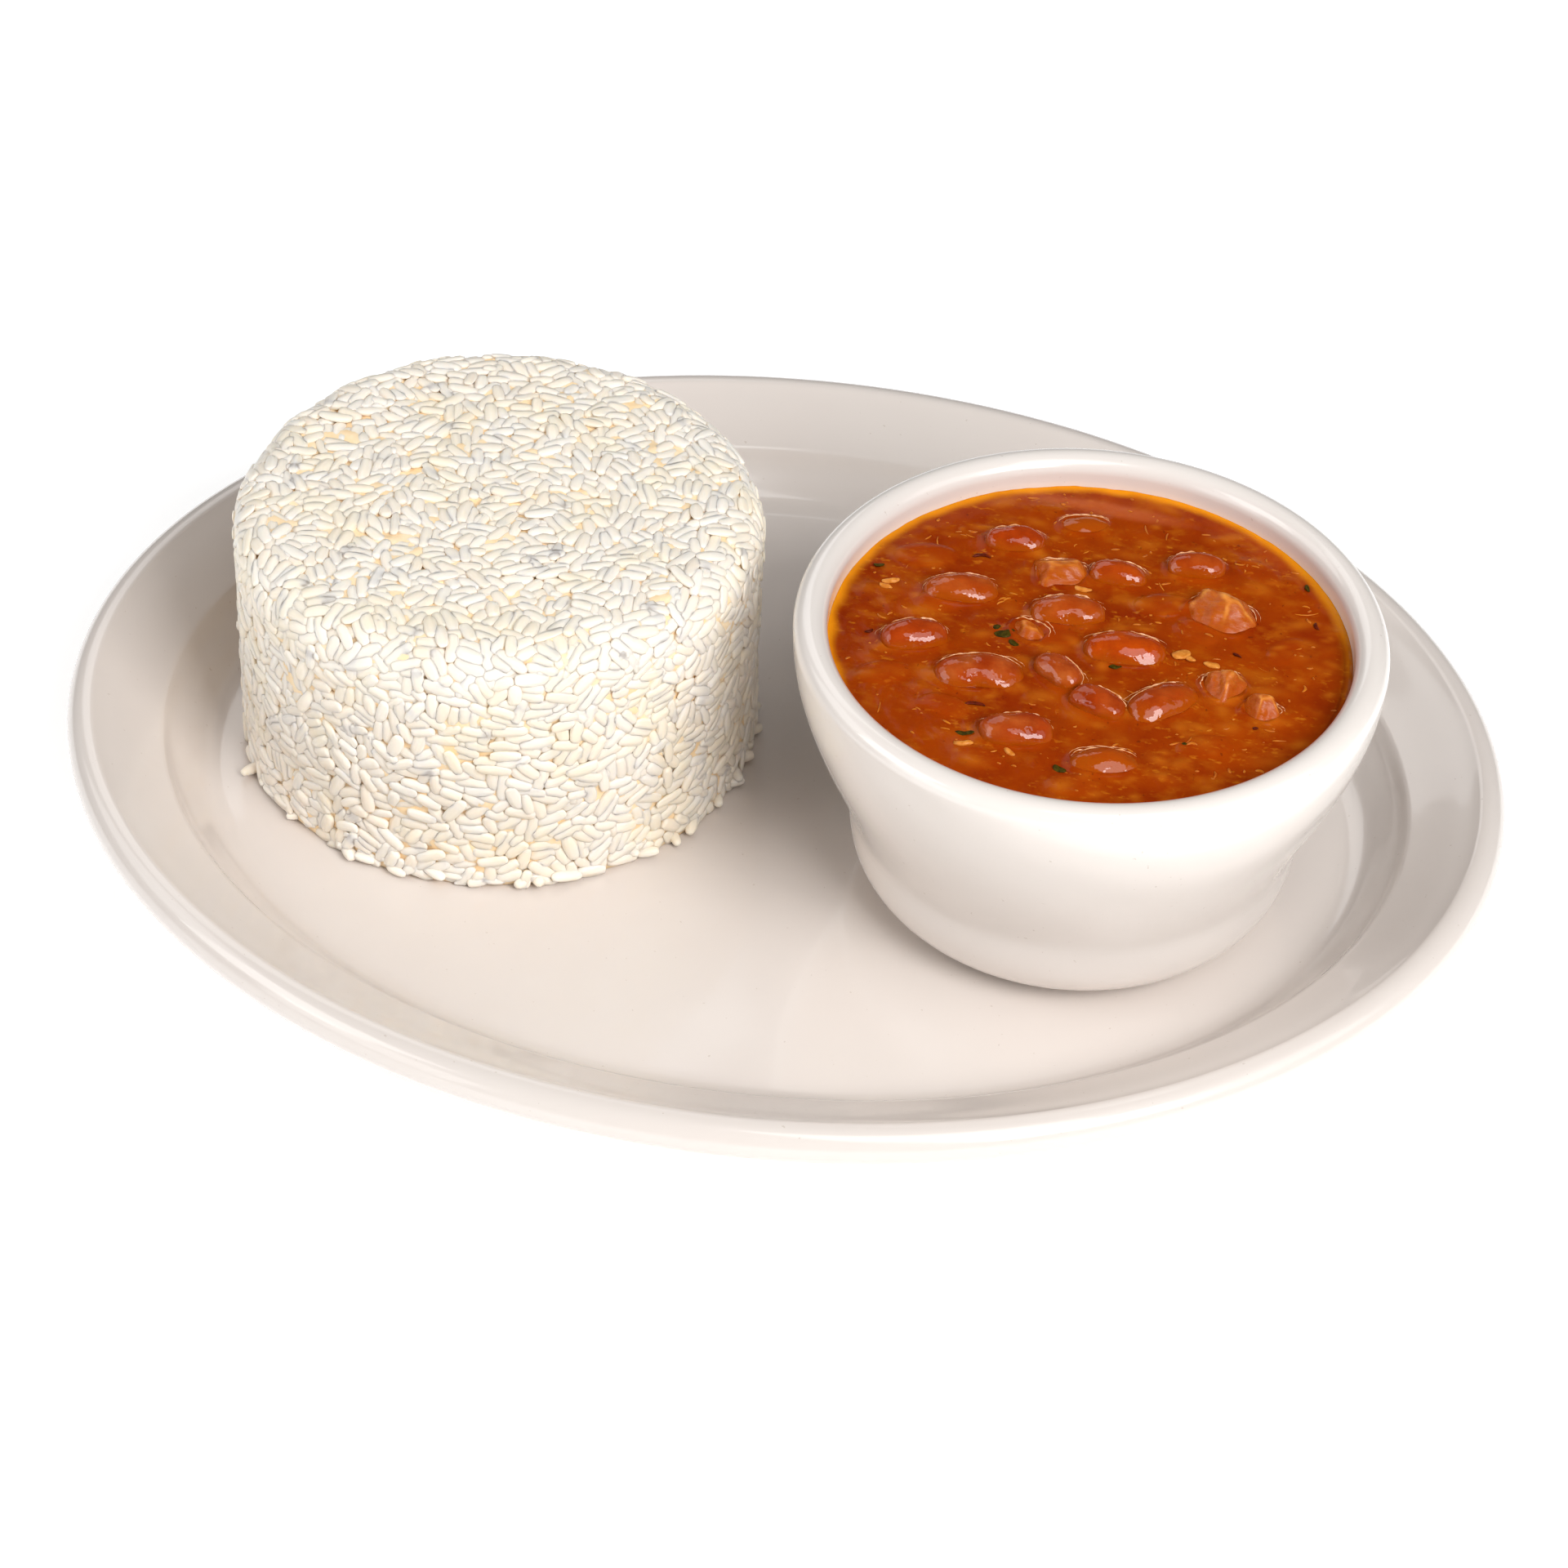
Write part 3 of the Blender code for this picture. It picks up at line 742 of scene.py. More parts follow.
def resting_shape(node):
    """Centre, directions (long, wide, deep) and sizes of a node, from the spread of its points
    seen from above: the long way is the main axis of their covariance."""
    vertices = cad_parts[node].data.vertices
    points = np.empty(len(vertices) * 3, np.float32)
    vertices.foreach_get("co", points)
    points = points.reshape(-1, 3).astype(float)
    flat = points[:, :2] - points[:, :2].mean(0)
    main = np.linalg.eigh(flat.T @ flat)[1][:, 1]
    main = main * (1 if main[0] > 0 else -1)
    axes = np.array([[main[0], main[1], 0], [-main[1], main[0], 0], [0, 0, 1.0]])
    local = points @ axes.T
    low, high = local.min(0), local.max(0)
    return ((low + high) / 2) @ axes, axes, high - low


def outline(node):
    """Centre, directions and half sizes of a piece's own finished body, and the half sizes of
    its outline where it leaves the stew: an ellipsoid cut a little above the stew's level."""
    centre, axes, sizes = resting_shape(node)
    half = sizes / 2 * (BEAN_SWELL if node in BEANS else HAM_SWELL)
    above = np.clip((STEW_LEVEL + 0.4 * MM - centre[2]) / half[2], -0.95, 0.95)
    shrink = math.sqrt(1 - above**2) if node in BEANS else 0.93
    return centre, axes, half, half[:2] * shrink


def film_climb(x, y, node, reach):
    """How the stew climbs a piece: it falls off by e for each reach from the piece's outline,
    which is the oval where it leaves the stew, and it dips away again under the piece."""
    centre, axes, _, cut = outline(node)
    along = (x - centre[0]) * axes[0, 0] + (y - centre[1]) * axes[0, 1]
    across = (x - centre[0]) * axes[1, 0] + (y - centre[1]) * axes[1, 1]
    power = 2.5 if node in BEANS else 3.0
    size = (np.abs(along / cut[0]) ** power + np.abs(across / cut[1]) ** power) ** (1 / power)
    gap = (size - 1) * cut[1]
    return np.exp(-np.maximum(gap, 0) / reach) * smooth_step(0.55, 1.0, size), gap


# The lit side of the bowl, where the stew's edge is thin and bright: a real thin film, painted
# lighter on this side only as painted light; across from it, the edge is dark with painted shade.
LIT_SHORE = (-0.45, 0.89)
THIN_WIDTH = 2.3 * MM

# The pale painted reflection at the back of the stew: its middle from the bowl's axis, and its
# half sizes.
REFLECTION_AT = (-1.5 * MM, 38.9 * MM)
REFLECTION_HALF = (13.5 * MM, 2.0 * MM)


def stew_relief(x, y, settings):
    """Height of the stew above its level, and what shows in it: the climb at the bowl's wall
    and at each piece, swells over sunk pieces, small lumps and soft ripples."""
    from_x, from_y = x - BOWL_AXIS[0], y - BOWL_AXIS[1]
    around = np.hypot(from_x, from_y)
    wall = bowl_inside(STEW_LEVEL - BOWL_BASE)
    flat = np.stack([x, y], -1)
    height = wave_field(flat, 9 * MM, 71) * 0.06 * MM + wave_field(flat, 3.4 * MM, 72) * 0.035 * MM
    height = height + settings.climb * 0.5 * np.exp(-np.maximum(wall - around, 0) / (0.6 * MM))
    for node in BEANS + HAM:
        near, gap = film_climb(x, y, node, 0.45 * MM)
        broad = np.exp(-np.maximum(gap, 0) / (2.6 * MM))
        height = np.maximum(height, 0.15 * height + settings.climb * near) + 0.16 * MM * broad
    under = np.zeros_like(x)
    for px, py, length, turn, rise in SUNK:
        along, across = in_frame(from_x - px * MM, from_y - py * MM, math.radians(turn))
        size = np.hypot(along / (length * MM / 2), across / (length * MM * 0.3))
        bulge = np.clip(1 - size**2, 0, 1) ** 0.5 + 0.35 * np.exp(-np.maximum(size - 1, 0) * 4)
        height = height + bulge * rise * MM
        under = np.maximum(under, smooth_step(1.15, 0.55, size) * (0.25 + rise * 0.6))
    rng = np.random.default_rng(73)
    bits = np.zeros_like(x)
    for _ in range(settings.lumps):
        radius = wall * 0.95 * math.sqrt(rng.uniform())
        heading, size = rng.uniform(0, 2 * math.pi), rng.uniform(0.5, 1.5) * MM
        turn, stretch = rng.uniform(-0.6, 0.6), rng.uniform(1.0, 2.4)
        dx, dy = from_x - radius * math.cos(heading), from_y - radius * math.sin(heading)
        along, across = in_frame(dx, dy, turn)
        swell = np.exp(-((along / (size * stretch)) ** 2) - (across / size) ** 2)
        height = height + swell * size * rng.uniform(0.03, 0.13)
        bits = np.maximum(bits, swell * rng.uniform(0.0, 0.8))
    # Painted light and shade at the stew's edge: the thin edge is lighter on the lit side only, and
    # bands of dark painted shade line the shore across from it.
    toward = from_x * LIT_SHORE[0] + from_y * LIT_SHORE[1]
    toward = toward / np.maximum(around, 1e-6)
    bright = smooth_step(-0.75, 0.05, toward)
    gap = wall - around
    thin = smooth_step(THIN_WIDTH, 0.0, gap + 0.25 * MM * wave_field(flat, 8 * MM, 74)) * bright
    shore_shade = np.exp(-((gap - 0.25 * MM) / (0.35 * MM)) ** 2)
    shore_shade = shore_shade + 0.7 * np.exp(-((gap - 1.35 * MM) / (0.25 * MM)) ** 2)
    shore_shade = shore_shade * (1 - bright)
    # Painted reflection: a pale oval patch at the back, where light is mirrored on the stew.
    dx, dy = from_x - REFLECTION_AT[0], from_y - REFLECTION_AT[1]
    oval = np.hypot((dx + 0.12 * dy) / REFLECTION_HALF[0], (dy + 0.08 * dx) / REFLECTION_HALF[1])
    return {
        "height": height, "under": under, "bits": bits, "thin": thin, "shore_shade": shore_shade,
        "painted_reflection": 0.6 * smooth_step(1.35, 0.4, oval),
    }


def disc_points(count):
    """A square grid bent into a unit disc: each square ring becomes a circle, and the place
    along a side becomes the angle."""
    side = np.linspace(-1, 1, count + 1)
    a, b = np.meshgrid(side, side, indexing="ij")
    wide = np.abs(a) > np.abs(b)
    a_safe, b_safe = np.where(a == 0, 1e-12, a), np.where(b == 0, 1e-12, b)
    radius = np.where(wide, a, b)
    angle = np.where(wide, np.pi / 4 * b / a_safe, np.pi / 2 - np.pi / 4 * a / b_safe)
    return radius * np.cos(angle), radius * np.sin(angle)


# Heights above the bowl's foot of the rings down the stew's side (mm).
STEW_SIDE = (50.0, 42, 32, 22, 14, 9)


def stew_mesh(settings):
    """The stew's surface on a disc of small squares, then its side down the bowl's wall."""
    count = settings.grid
    wall = bowl_inside(STEW_LEVEL - BOWL_BASE) + 0.12 * MM
    x, y = disc_points(count)
    x, y = BOWL_AXIS[0] + x * wall, BOWL_AXIS[1] + y * wall
    shades = stew_relief(x, y, settings)
    top = np.stack([x, y, STEW_LEVEL + shades.pop("height")], -1).reshape(-1, 3)
    index = np.arange((count + 1) ** 2).reshape(count + 1, count + 1)
    quads = grid_faces(index)
    loop = np.concatenate([index[:-1, 0], index[-1, :-1], index[:0:-1, -1], index[0, :0:-1]])
    down = np.array(STEW_SIDE) * MM
    edge = (top[loop, :2] - BOWL_AXIS[:2]) / wall
    rings = []
    for height in down:
        ring = BOWL_AXIS[:2] + edge * (bowl_inside(height) - 0.1 * MM)
        rings.append(np.concatenate([ring, np.full((len(loop), 1), BOWL_BASE + height)], 1))
    sides = np.arange(len(loop))
    rows = np.concatenate([[loop], [len(top) + k * len(loop) + sides for k in range(len(down))]])
    turned = np.roll(rows, -1, axis=1)
    skirt = np.stack([rows[:-1], rows[1:], turned[1:], turned[:-1]], -1).reshape(-1, 4)
    pole = len(top) + len(down) * len(loop)
    fan = np.stack([rows[-1], np.full(len(loop), pole), turned[-1]], -1)
    points = np.concatenate([top, *rings, [(BOWL_AXIS[0], BOWL_AXIS[1], BOWL_BASE + down[-1])]])
    rest = np.zeros(len(points) - len(top))
    values = {key: np.concatenate([value.ravel(), rest]) for key, value in shades.items()}
    return mesh_from("stew_surface", points, np.concatenate([quads, skirt]), fan, **values)


def bean_mesh(node):
    """A kidney bean: rings round a bent line from end to end, pinched at the hollow of its
    waist, with faint wrinkles along it."""
    centre, axes, half, _ = outline(node)
    pale, warm, cover = BEAN_LOOKS.get(node, (0.4, 0.2, 0.4))
    seed = int(node[-2:])
    u = np.linspace(0, np.pi, BEAN_ROWS + 2)[1:-1, None]
    v = np.linspace(0, 2 * np.pi, BEAN_SIDES, endpoint=False)[None]
    along = -np.cos(u) + 0 * v
    size = np.sin(u) ** 0.68
    across, up = size * np.cos(v), size * np.sin(v)
    hollow = NOTCH_HOLLOW if node == NOTCHED else HOLLOW
    pinch = hollow * np.exp(-((along / HOLLOW_WIDTH) ** 2)) * np.maximum(0, -across)
    side = (across + pinch) * half[1] - BEAN_BEND * half[0] * (along**2 - 0.4)
    local = np.stack([along * half[0], side, up * half[2]], -1)
    out = np.stack([along / half[0], across / half[1], up / half[2]], -1)
    out /= np.linalg.norm(out, axis=-1, keepdims=True)
    wrinkle = wave_field(local * np.array([0.5, 1.0, 1.0]), 1.9 * MM, 200 + seed)
    dent = wave_field(local, 5 * MM, 240 + seed)
    local = local + out * (wrinkle * 0.05 + dent * 0.12)[..., None] * MM
    rings = local @ axes + centre
    ends = np.array([[-1, -0.6 * BEAN_BEND, 0], [1, -0.6 * BEAN_BEND, 0]]) * half[0]
    poles = ends @ axes + centre
    points = np.concatenate([rings.reshape(-1, 3), poles])
    above = (points[:, 2] - STEW_LEVEL) / MM
    front = -(points - centre) @ axes[1] / half[1]
    blur = wave_field(points, 2.4 * MM, 280 + seed) * 0.28
    film = smooth_step(1.8 + 1.9 * cover, 0.6, above - 0.6 * cover * front + blur)
    film = np.clip(film + 0.4 * max(0, cover - 0.3), 0, 1)
    bright = np.clip(pale * (0.65 + 0.5 * wave_field(points, 4.5 * MM, 300 + seed)), 0, 1)
    middle_line = np.abs((points - centre) @ axes[0]) / half[0]
    # Painted shade in the waist notch, on the front of the notched bean.
    notch_shade = smooth_step(0.10, 0.02, middle_line) * smooth_step(0.72, 0.9, front) * (node == NOTCHED)
    values = {"film": film, "pale": bright, "warm": np.full(len(points), warm), "notch_shade": notch_shade}
    return mesh_from(node + "_cooked", points, *stack_faces(*rings.shape[:2]), **values)


# Flat faces of each torn chunk of ham: (turn, lean from upright, share of its half size).
HAM_FACES = {
    "ham_01": ((20, 62, 0.95), (100, 40, 0.85), (200, 55, 0.9), (280, 38, 0.8), (330, 70, 1.0)),
    "ham_02": ((250, 42, 0.62), (320, 50, 0.72), (100, 58, 0.85), (180, 66, 0.9), (40, 60, 0.9)),
    "ham_03": ((190, 48, 0.70), (70, 50, 0.8), (300, 55, 0.75), (140, 70, 0.95), (20, 64, 0.9)),
    "ham_04": ((230, 50, 0.66), (320, 44, 0.7), (110, 60, 0.85), (40, 66, 0.9), (180, 72, 1.0)),
    "ham_05": ((30, 55, 0.9), (120, 50, 0.85), (210, 52, 0.85), (300, 48, 0.85)),
}


HAM_ROWS, HAM_SIDES = 38, 56
SOFT_POWER = 9


def ham_mesh(node):
    """A torn chunk: the body inside a few flat faces, whose radius in any direction is a soft
    minimum of the distances to them, with fibres and dents over it."""
    centre, axes, half, _ = outline(node)
    seed = 400 + int(node[-2:])
    u = np.linspace(0, np.pi, HAM_ROWS + 2)[1:-1, None]
    v = np.linspace(0, 2 * np.pi, HAM_SIDES, endpoint=False)[None]
    way = np.stack([np.sin(u) * np.cos(v), np.sin(u) * np.sin(v), -np.cos(u) + 0 * v], -1)
    ways = np.concatenate([way.reshape(-1, 3), [(0, 0, -1.0), (0, 0, 1.0)]])
    turn, lean, share = np.array(HAM_FACES.get(node, HAM_FACES["ham_05"])).T
    turn, lean = np.radians(turn), np.radians(lean)
    facing = np.stack([np.sin(lean) * np.cos(turn), np.sin(lean) * np.sin(turn), np.cos(lean)], 1)
    box = np.array([[1, 0, 0], [-1, 0, 0], [0, 1, 0], [0, -1, 0], [0, 0, 1.0], [0, 0, -1]])
    facing, share = np.concatenate([facing, box]), np.concatenate([share, np.full(6, 1.0)])
    press = np.maximum(ways @ facing.T, 0) / share
    radius = 1 / (press**SOFT_POWER).sum(1) ** (1 / SOFT_POWER)
    local = ways * radius[:, None] * half * 1.02
    fibre = wave_field(local * np.array([0.35, 1.2, 1.0]), 1.2 * MM, seed) * 0.07
    dent = wave_field(local, 3.5 * MM, seed + 20) * 0.25
    local = local + ways * (fibre + dent)[:, None] * MM
    points = local @ axes + centre
    firm = np.sort(press, axis=1)
    ridge = smooth_step(0.16, 0.02, firm[:, -1] - firm[:, -2])
    above = (points[:, 2] - STEW_LEVEL) / MM
    broken = 0.55 + 0.45 * wave_field(points, 2 * MM, seed + 40)
    ridge = ridge * smooth_step(0.5, 1.4, above) * broken
    film = smooth_step(3.0, 0.6, above + wave_field(points, 2 * MM, seed + 60) * 0.9)
    values = {"film": film, "ridge": np.clip(ridge, 0, 1)}
    return mesh_from(node + "_cooked", points, *stack_faces(*way.shape[:2]), **values)


# Each bean's lips: distance out and thickness (mm), where it starts and ends round the bean
# (degrees), and how high it climbs, as a share of the bean's half depth from its middle.
LIPS = ((0.05, 0.22, 8, 172, 0.62), (0.85, 0.12, 28, 148, -1.0))
LIP_STEPS, LIP_SIDES = 48, 6


def film_lips_mesh(name, settings, seed=69):
    """Lips of stew behind each piece, whose bright peach colour is a painted highlight on a real
    meniscus: a thread carried along the outline where the piece leaves the stew, which thins to
    nothing at both ends, and a finer one outside it. On a bean the first climbs its back: its
    height is the peak times sin(t)^0.8 from end to end, and its reach is that of the bean's body
    at that height."""
    rng = np.random.default_rng(seed)
    share = np.linspace(0, 1, LIP_STEPS)
    v = np.linspace(0, 2 * np.pi, LIP_SIDES, endpoint=False)
    paths, outs, sizes, lifts = [], [], [], []
    for node in BEANS + HAM:
        centre, axes, half, cut = outline(node)
        for gap, thick, start, end, climb in LIPS:
            start, end = start + rng.normal(0, 9), end + rng.normal(0, 9)
            turn = np.radians(start + (end - start) * share)
            shake = wave_field(share[:, None], 0.22, int(rng.integers(1000)))
            wide = np.sign(np.cos(turn)) * np.abs(np.cos(turn)) ** 0.8
            body = np.stack([wide, np.sin(turn) ** 0.8], 1)
            peak = max(0.0, centre[2] + climb * half[2] - STEW_LEVEL) if node in BEANS else 0.0
            lift = peak * np.sin(np.pi * share) ** 0.8
            share_up = np.clip((STEW_LEVEL + lift - centre[2]) / half[2], -0.95, 0.95)
            size_there = half[:2] * np.sqrt(1 - share_up**2)[:, None] if peak else cut
            reach = size_there + (gap + 0.10 * shake[:, None]) * MM
            lifts.append(STEW_LEVEL + lift)
            paths.append(centre[:2] + (body * reach) @ axes[:2, :2])
            outs.append(np.stack([np.cos(turn), np.sin(turn)], 1) @ axes[:2, :2])
            broken = 0.6 + 0.4 * wave_field(share[:, None], 0.12, int(rng.integers(1000)))
            sizes.append(thick * MM * np.sin(np.pi * share) ** 0.6 * np.clip(broken, 0.25, 1.1))
    path, out, size = np.array(paths), np.array(outs), np.array(sizes)
    level = STEW_LEVEL + stew_relief(path[..., 0], path[..., 1], settings)["height"]
    level = np.maximum(level, np.array(lifts))
    spine = np.concatenate([path, level[..., None]], -1)
    out = np.concatenate([out, 0 * out[..., :1]], -1)
    up = np.array([0, 0, 1.0])
    ring = out[..., None, :] * np.cos(v)[:, None] - up * np.sin(v)[:, None]
    rings = spine[:, 1:-1, None] + ring[:, 1:-1] * size[:, 1:-1, None, None]
    ends = spine[:, [0, -1]]
    points = np.concatenate([rings.reshape(len(path), -1, 3), ends], 1)
    quads, triangles = stack_faces(rings.shape[1], len(v))
    copies, size = points.shape[:2]
    return mesh_from(name, points, repeated(quads, copies, size), repeated(triangles, copies, size))


# Small pieces on the stew: place from the bowl's axis, length, width (mm), turn (degrees),
# how far it bends, and how high its middle is above the stew (mm).
HERBS = (
    (-38.9, 13.8, 1.9, 1.2, 15, 0.05, 0.30), (35.0, 24.1, 1.8, 0.9, -75, 0.05, 0.30),
    (-14.7, 0.0, 3.6, 1.9, 25, 0.12, 0.32), (-12.9, -2.2, 2.2, 1.2, -40, 0.10, 0.30),
    (-16.3, 1.6, 1.6, 1.3, 80, 0.0, 0.25), (-5.9, 0.8, 3.0, 1.6, -10, 0.15, 0.30),
    (4.9, -4.6, 2.5, 2.1, 10, 0.08, 0.42), (-0.7, -33.1, 2.4, 1.3, -20, 0.05, 0.25),
    (19.3, -21.8, 3.2, 1.2, 8, 0.1, 0.05), (-17.5, -27.5, 3.4, 1.1, 5, 0.1, 0.30),
    (8.1, -2.5, 1.1, 0.5, 30, 0.0, 0.25),
)
SKIN_CURLS = (
    (-21.8, 20.4, 3.2, 0.8, 10, -0.22, 0.30), (-17.9, -14.3, 2.6, 0.7, -70, 0.12, 0.30),
    (-16.9, -19.7, 3.6, 0.8, 5, -0.15, 0.30), (-37.5, -4.5, 1.6, 0.7, 40, 0.1, 0.2),
    (25.0, 3.0, 1.8, 0.6, -25, 0.1, 0.25), (37.5, 14.0, 2.0, 0.7, -70, 0.15, 0.2),
    (30.0, -15.5, 1.0, 0.7, 0, 0.0, 0.2), (12.5, -14.5, 1.6, 0.6, 30, 0.1, 0.3),
)
ONION_BITS = (
    (-17.2, -30.1, 3.4, 1.3, 15, 0.06, 0.30), (-36.2, 9.9, 3.2, 1.1, 12, 0.08, 0.32),
    (-36.8, 8.2, 2.4, 0.9, -10, 0.05, 0.28), (15.6, 0.9, 3.4, 2.4, 30, 0.05, 0.45),
    (17.2, 0.2, 2.2, 1.4, -35, 0.05, 0.35), (-3.3, 14.8, 3.4, 1.1, -8, 0.1, 0.45),
    (-9.5, -30.6, 2.6, 1.0, -40, 0.06, 0.25), (21.0, -0.5, 3.0, 1.6, -15, 0.0, 0.2),
)


def scattered_bits(name, rows, thickness, seed):
    """Small wet pieces at their places, each a flattened spindle that bends in its own plane
    and tips a little, at its given height above the stew's level, with a fine ruffle."""
    rng = np.random.default_rng(seed)
    x, y, length, width, turn, bend, lift = np.array(rows).T
    count = len(rows)
    axes = lying_axes(rng, np.radians(turn), 0.06, 0.18)
    centres = np.stack([BOWL_AXIS[0] + x * MM, BOWL_AXIS[1] + y * MM, STEW_LEVEL + lift * MM], 1)
    points, quads, triangles = spindles(
        centres, axes, length * MM, width * MM, np.full(count, thickness), bend, 14, 12, 0.8
    )
    ruffle = wave_field(points, 1.3 * MM, seed + 1) * 0.12 * MM
    points[..., 2] += ruffle
    return mesh_from(name, points, quads, triangles)


# Shortest and longest piece, then its usual width and depth.
FLECK_SIZES = (0.45 * MM, 2.2 * MM, 0.55 * MM, 0.36 * MM)
THREAD_SIZES = (2.2 * MM, 5.5 * MM, 0.34 * MM, 0.3 * MM)


def strewn_flecks(name, settings, count, sizes, seed, height):
    """Many flecks and threads strewn over the stew in loose drifts: a spot is kept where a
    slow random field is high and no large piece lies."""
    rng = np.random.default_rng(seed)
    radius = bowl_inside(STEW_LEVEL - BOWL_BASE) * 0.965
    tries = count * 12
    around, turn = radius * np.sqrt(rng.uniform(size=tries)), rng.uniform(0, 2 * np.pi, tries)
    x = BOWL_AXIS[0] + around * np.cos(turn)
    y = BOWL_AXIS[1] + around * np.sin(turn)
    drift = wave_field(np.stack([x, y], -1), 12 * MM, seed + 1) + rng.normal(0, 0.5, tries)
    clear = np.ones(tries, bool)
    for node in BEANS + HAM:
        clear &= film_climb(x, y, node, 1 * MM)[1] > 0.5 * MM
    kept = np.flatnonzero((drift > 0.1) & clear)[:count]
    x, y = x[kept], y[kept]
    count = len(kept)
    level = STEW_LEVEL + stew_relief(x, y, settings)["height"]
    level = level + height * rng.uniform(-2.6, 0.7, count)
    axes = lying_axes(rng, rng.normal(0.1, 0.7, count), 0.05, 0.25)
    small, large, width, depth = sizes
    lengths = small + (large - small) * rng.uniform(size=count) ** 2.2
    widths = np.minimum(width * rng.uniform(0.6, 1.3, count), lengths * 0.8)
    centres = np.stack([x, y, level], 1)
    depths, bends = np.full(count, depth), rng.normal(0, 0.12, count)
    return mesh_from(name, *spindles(centres, axes, lengths, widths, depths, bends, 5, 5, 0.8))


# ---------------------------------------------------------------- settings

def length_setting(name, description, default):
    """A length in metres that a user may change."""
    return bpy.props.FloatProperty(
        name=name, description=description, default=default, unit="LENGTH", subtype="DISTANCE")


def angle_setting(name, description, degrees):
    """An angle that a user may change, given in degrees and kept in radians."""
    return bpy.props.FloatProperty(
        name=name, description=description, default=math.radians(degrees),
        unit="ROTATION", subtype="ANGLE")


def amount_setting(name, description, default, least=0.0):
    """A plain number that a user may change."""
    return bpy.props.FloatProperty(name=name, description=description, default=default, min=least)


def number_setting(name, description, default, least=1):
    """A whole number that a user may change."""
    return bpy.props.IntProperty(name=name, description=description, default=default, min=least)


def colour_setting(name, description, default):
    """A linear colour that a user may change."""
    return bpy.props.FloatVectorProperty(
        name=name, description=description, default=default, subtype="COLOR", min=0, max=1)


class PlateCrockery(bpy.types.PropertyGroup):
    """Sizes and colours of the platter and the bowl."""
    bead: length_setting("Rolled edge", "Radius of the platter's rolled edge", 3.7 * MM)
    sides: number_setting("Sides", "Faces round the platter and the bowl", 256, 48)
    platter_colour: colour_setting("Platter", "Glaze of the platter", (0.71, 0.65, 0.605))
    bowl_colour: colour_setting("Bowl", "Glaze of the bowl", (0.775, 0.72, 0.675))


class PlateRice(bpy.types.PropertyGroup):
    """Sizes and colours of the pressed rice."""
    grain_length: length_setting("Grain length", "Mean length of a cooked grain", 5.0 * MM)
    grain_width: length_setting("Grain width", "Mean width of a cooked grain", 2.22 * MM)
    layer: length_setting("Layer", "Depth of the loose grains over the core", 0.85 * MM)
    uneven: length_setting("Unevenness", "How far the pressed surface wanders", 0.25 * MM)
    proud: length_setting("Proud", "How far the proudest grains stand out", 0.55 * MM)
    outer_grains: number_setting("Outer grains", "Grains that lie side by side on the drum", 2560)
    deep_grains: number_setting("Deep grains", "Grains seen between them", 1700)
    foot_grains: number_setting("Foot grains", "Loose grains at the foot", 70)
    rounds: number_setting("Settling", "Rounds of pushing the grains apart", 60, 0)
    grain_colour: colour_setting("Grain", "Colour of the whitest grains", (0.957, 0.865, 0.765))
    # Painted shade: the tan that stands for the shade deep between the grains.
    gap_shade_colour: colour_setting("Gaps", "Colour deep between the grains", (0.92, 0.66, 0.36))


class PlateStew(bpy.types.PropertyGroup):
    """Sizes and colours of the stew and what lies in it."""
    climb: length_setting("Climb", "How far the stew climbs what it wets", 0.5 * MM)
    grid: number_setting("Grid", "Squares across the stew", 290, 40)
    lumps: number_setting("Lumps", "Small swells in the stew", 230, 0)
    flecks: number_setting("Flecks", "Flecks strewn on the stew", 170)
    threads: number_setting("Threads", "Threads strewn on the stew", 12)
    stew_colour: colour_setting("Stew", "The stew's main colour", (0.335, 0.045, 0.001))
    stew_shade: colour_setting("Stew shade", "The stew's darker colour", (0.24, 0.022, 0.001))
    fleck_colour: colour_setting("Flecks", "Colour of the flecks", (0.54, 0.16, 0.008))
    # Partly painted light: this lighter colour of a real thin film shows only on the lit side of
    # the stew's edge.
    edge_colour: colour_setting("Edge", "Colour of the thin edge at the bowl", (0.76, 0.26, 0.006))
    skin_colour: colour_setting("Bean skin", "Colour of the reddest beans", (0.37, 0.038, 0.002))
    ham_colour: colour_setting("Ham", "Colour of the ham", (0.49, 0.115, 0.010))


class PlateStage(bpy.types.PropertyGroup):
    """The camera and the lights."""
    lens: amount_setting("Lens", "Focal length in millimetres", 97.5, 10)
    distance: length_setting("Distance", "From the camera to the plate", 0.7672)
    azimuth: angle_setting("Azimuth", "Turn of the camera round the plate", 9.05)
    elevation: angle_setting("Elevation", "Angle of the camera above the table", 41.19)
    roll: angle_setting("Roll", "Tilt of the camera about its view", 2.43)
    power: amount_setting("Lights", "Strength of the lights, as a share of their own", 1.0)
    room: amount_setting("Room light", "Strength of the light all round", 0.06)


# ---------------------------------------------------------------- operators

# How deep each layer of grains lies under the drum's skin.
OUTER_DEPTH = 0.06 * MM
DEEP_DEPTH = 0.95 * MM
# How far down the drum's profile each layer reaches, as a share of it.
OUTER_REACH, DEEP_REACH = 0.993, 0.985
# Rings and points of each grain that shows, and of each deep one.
GRAIN_RINGS, DEEP_RINGS = (7, 8), (5, 6)


class PLATE_OT_platter(bpy.types.Operator):
    """Make the oval platter"""
    bl_idname = "plate.platter"
    bl_label = "Platter"

    def execute(self, context):
        settings = context.scene.plate_crockery
        finish = glaze_finish("platter_glaze", settings.platter_colour, PLATTER_SHADE)
        add_piece(platter_mesh(settings), finish, "platter_glaze", "platter")
        return {"FINISHED"}


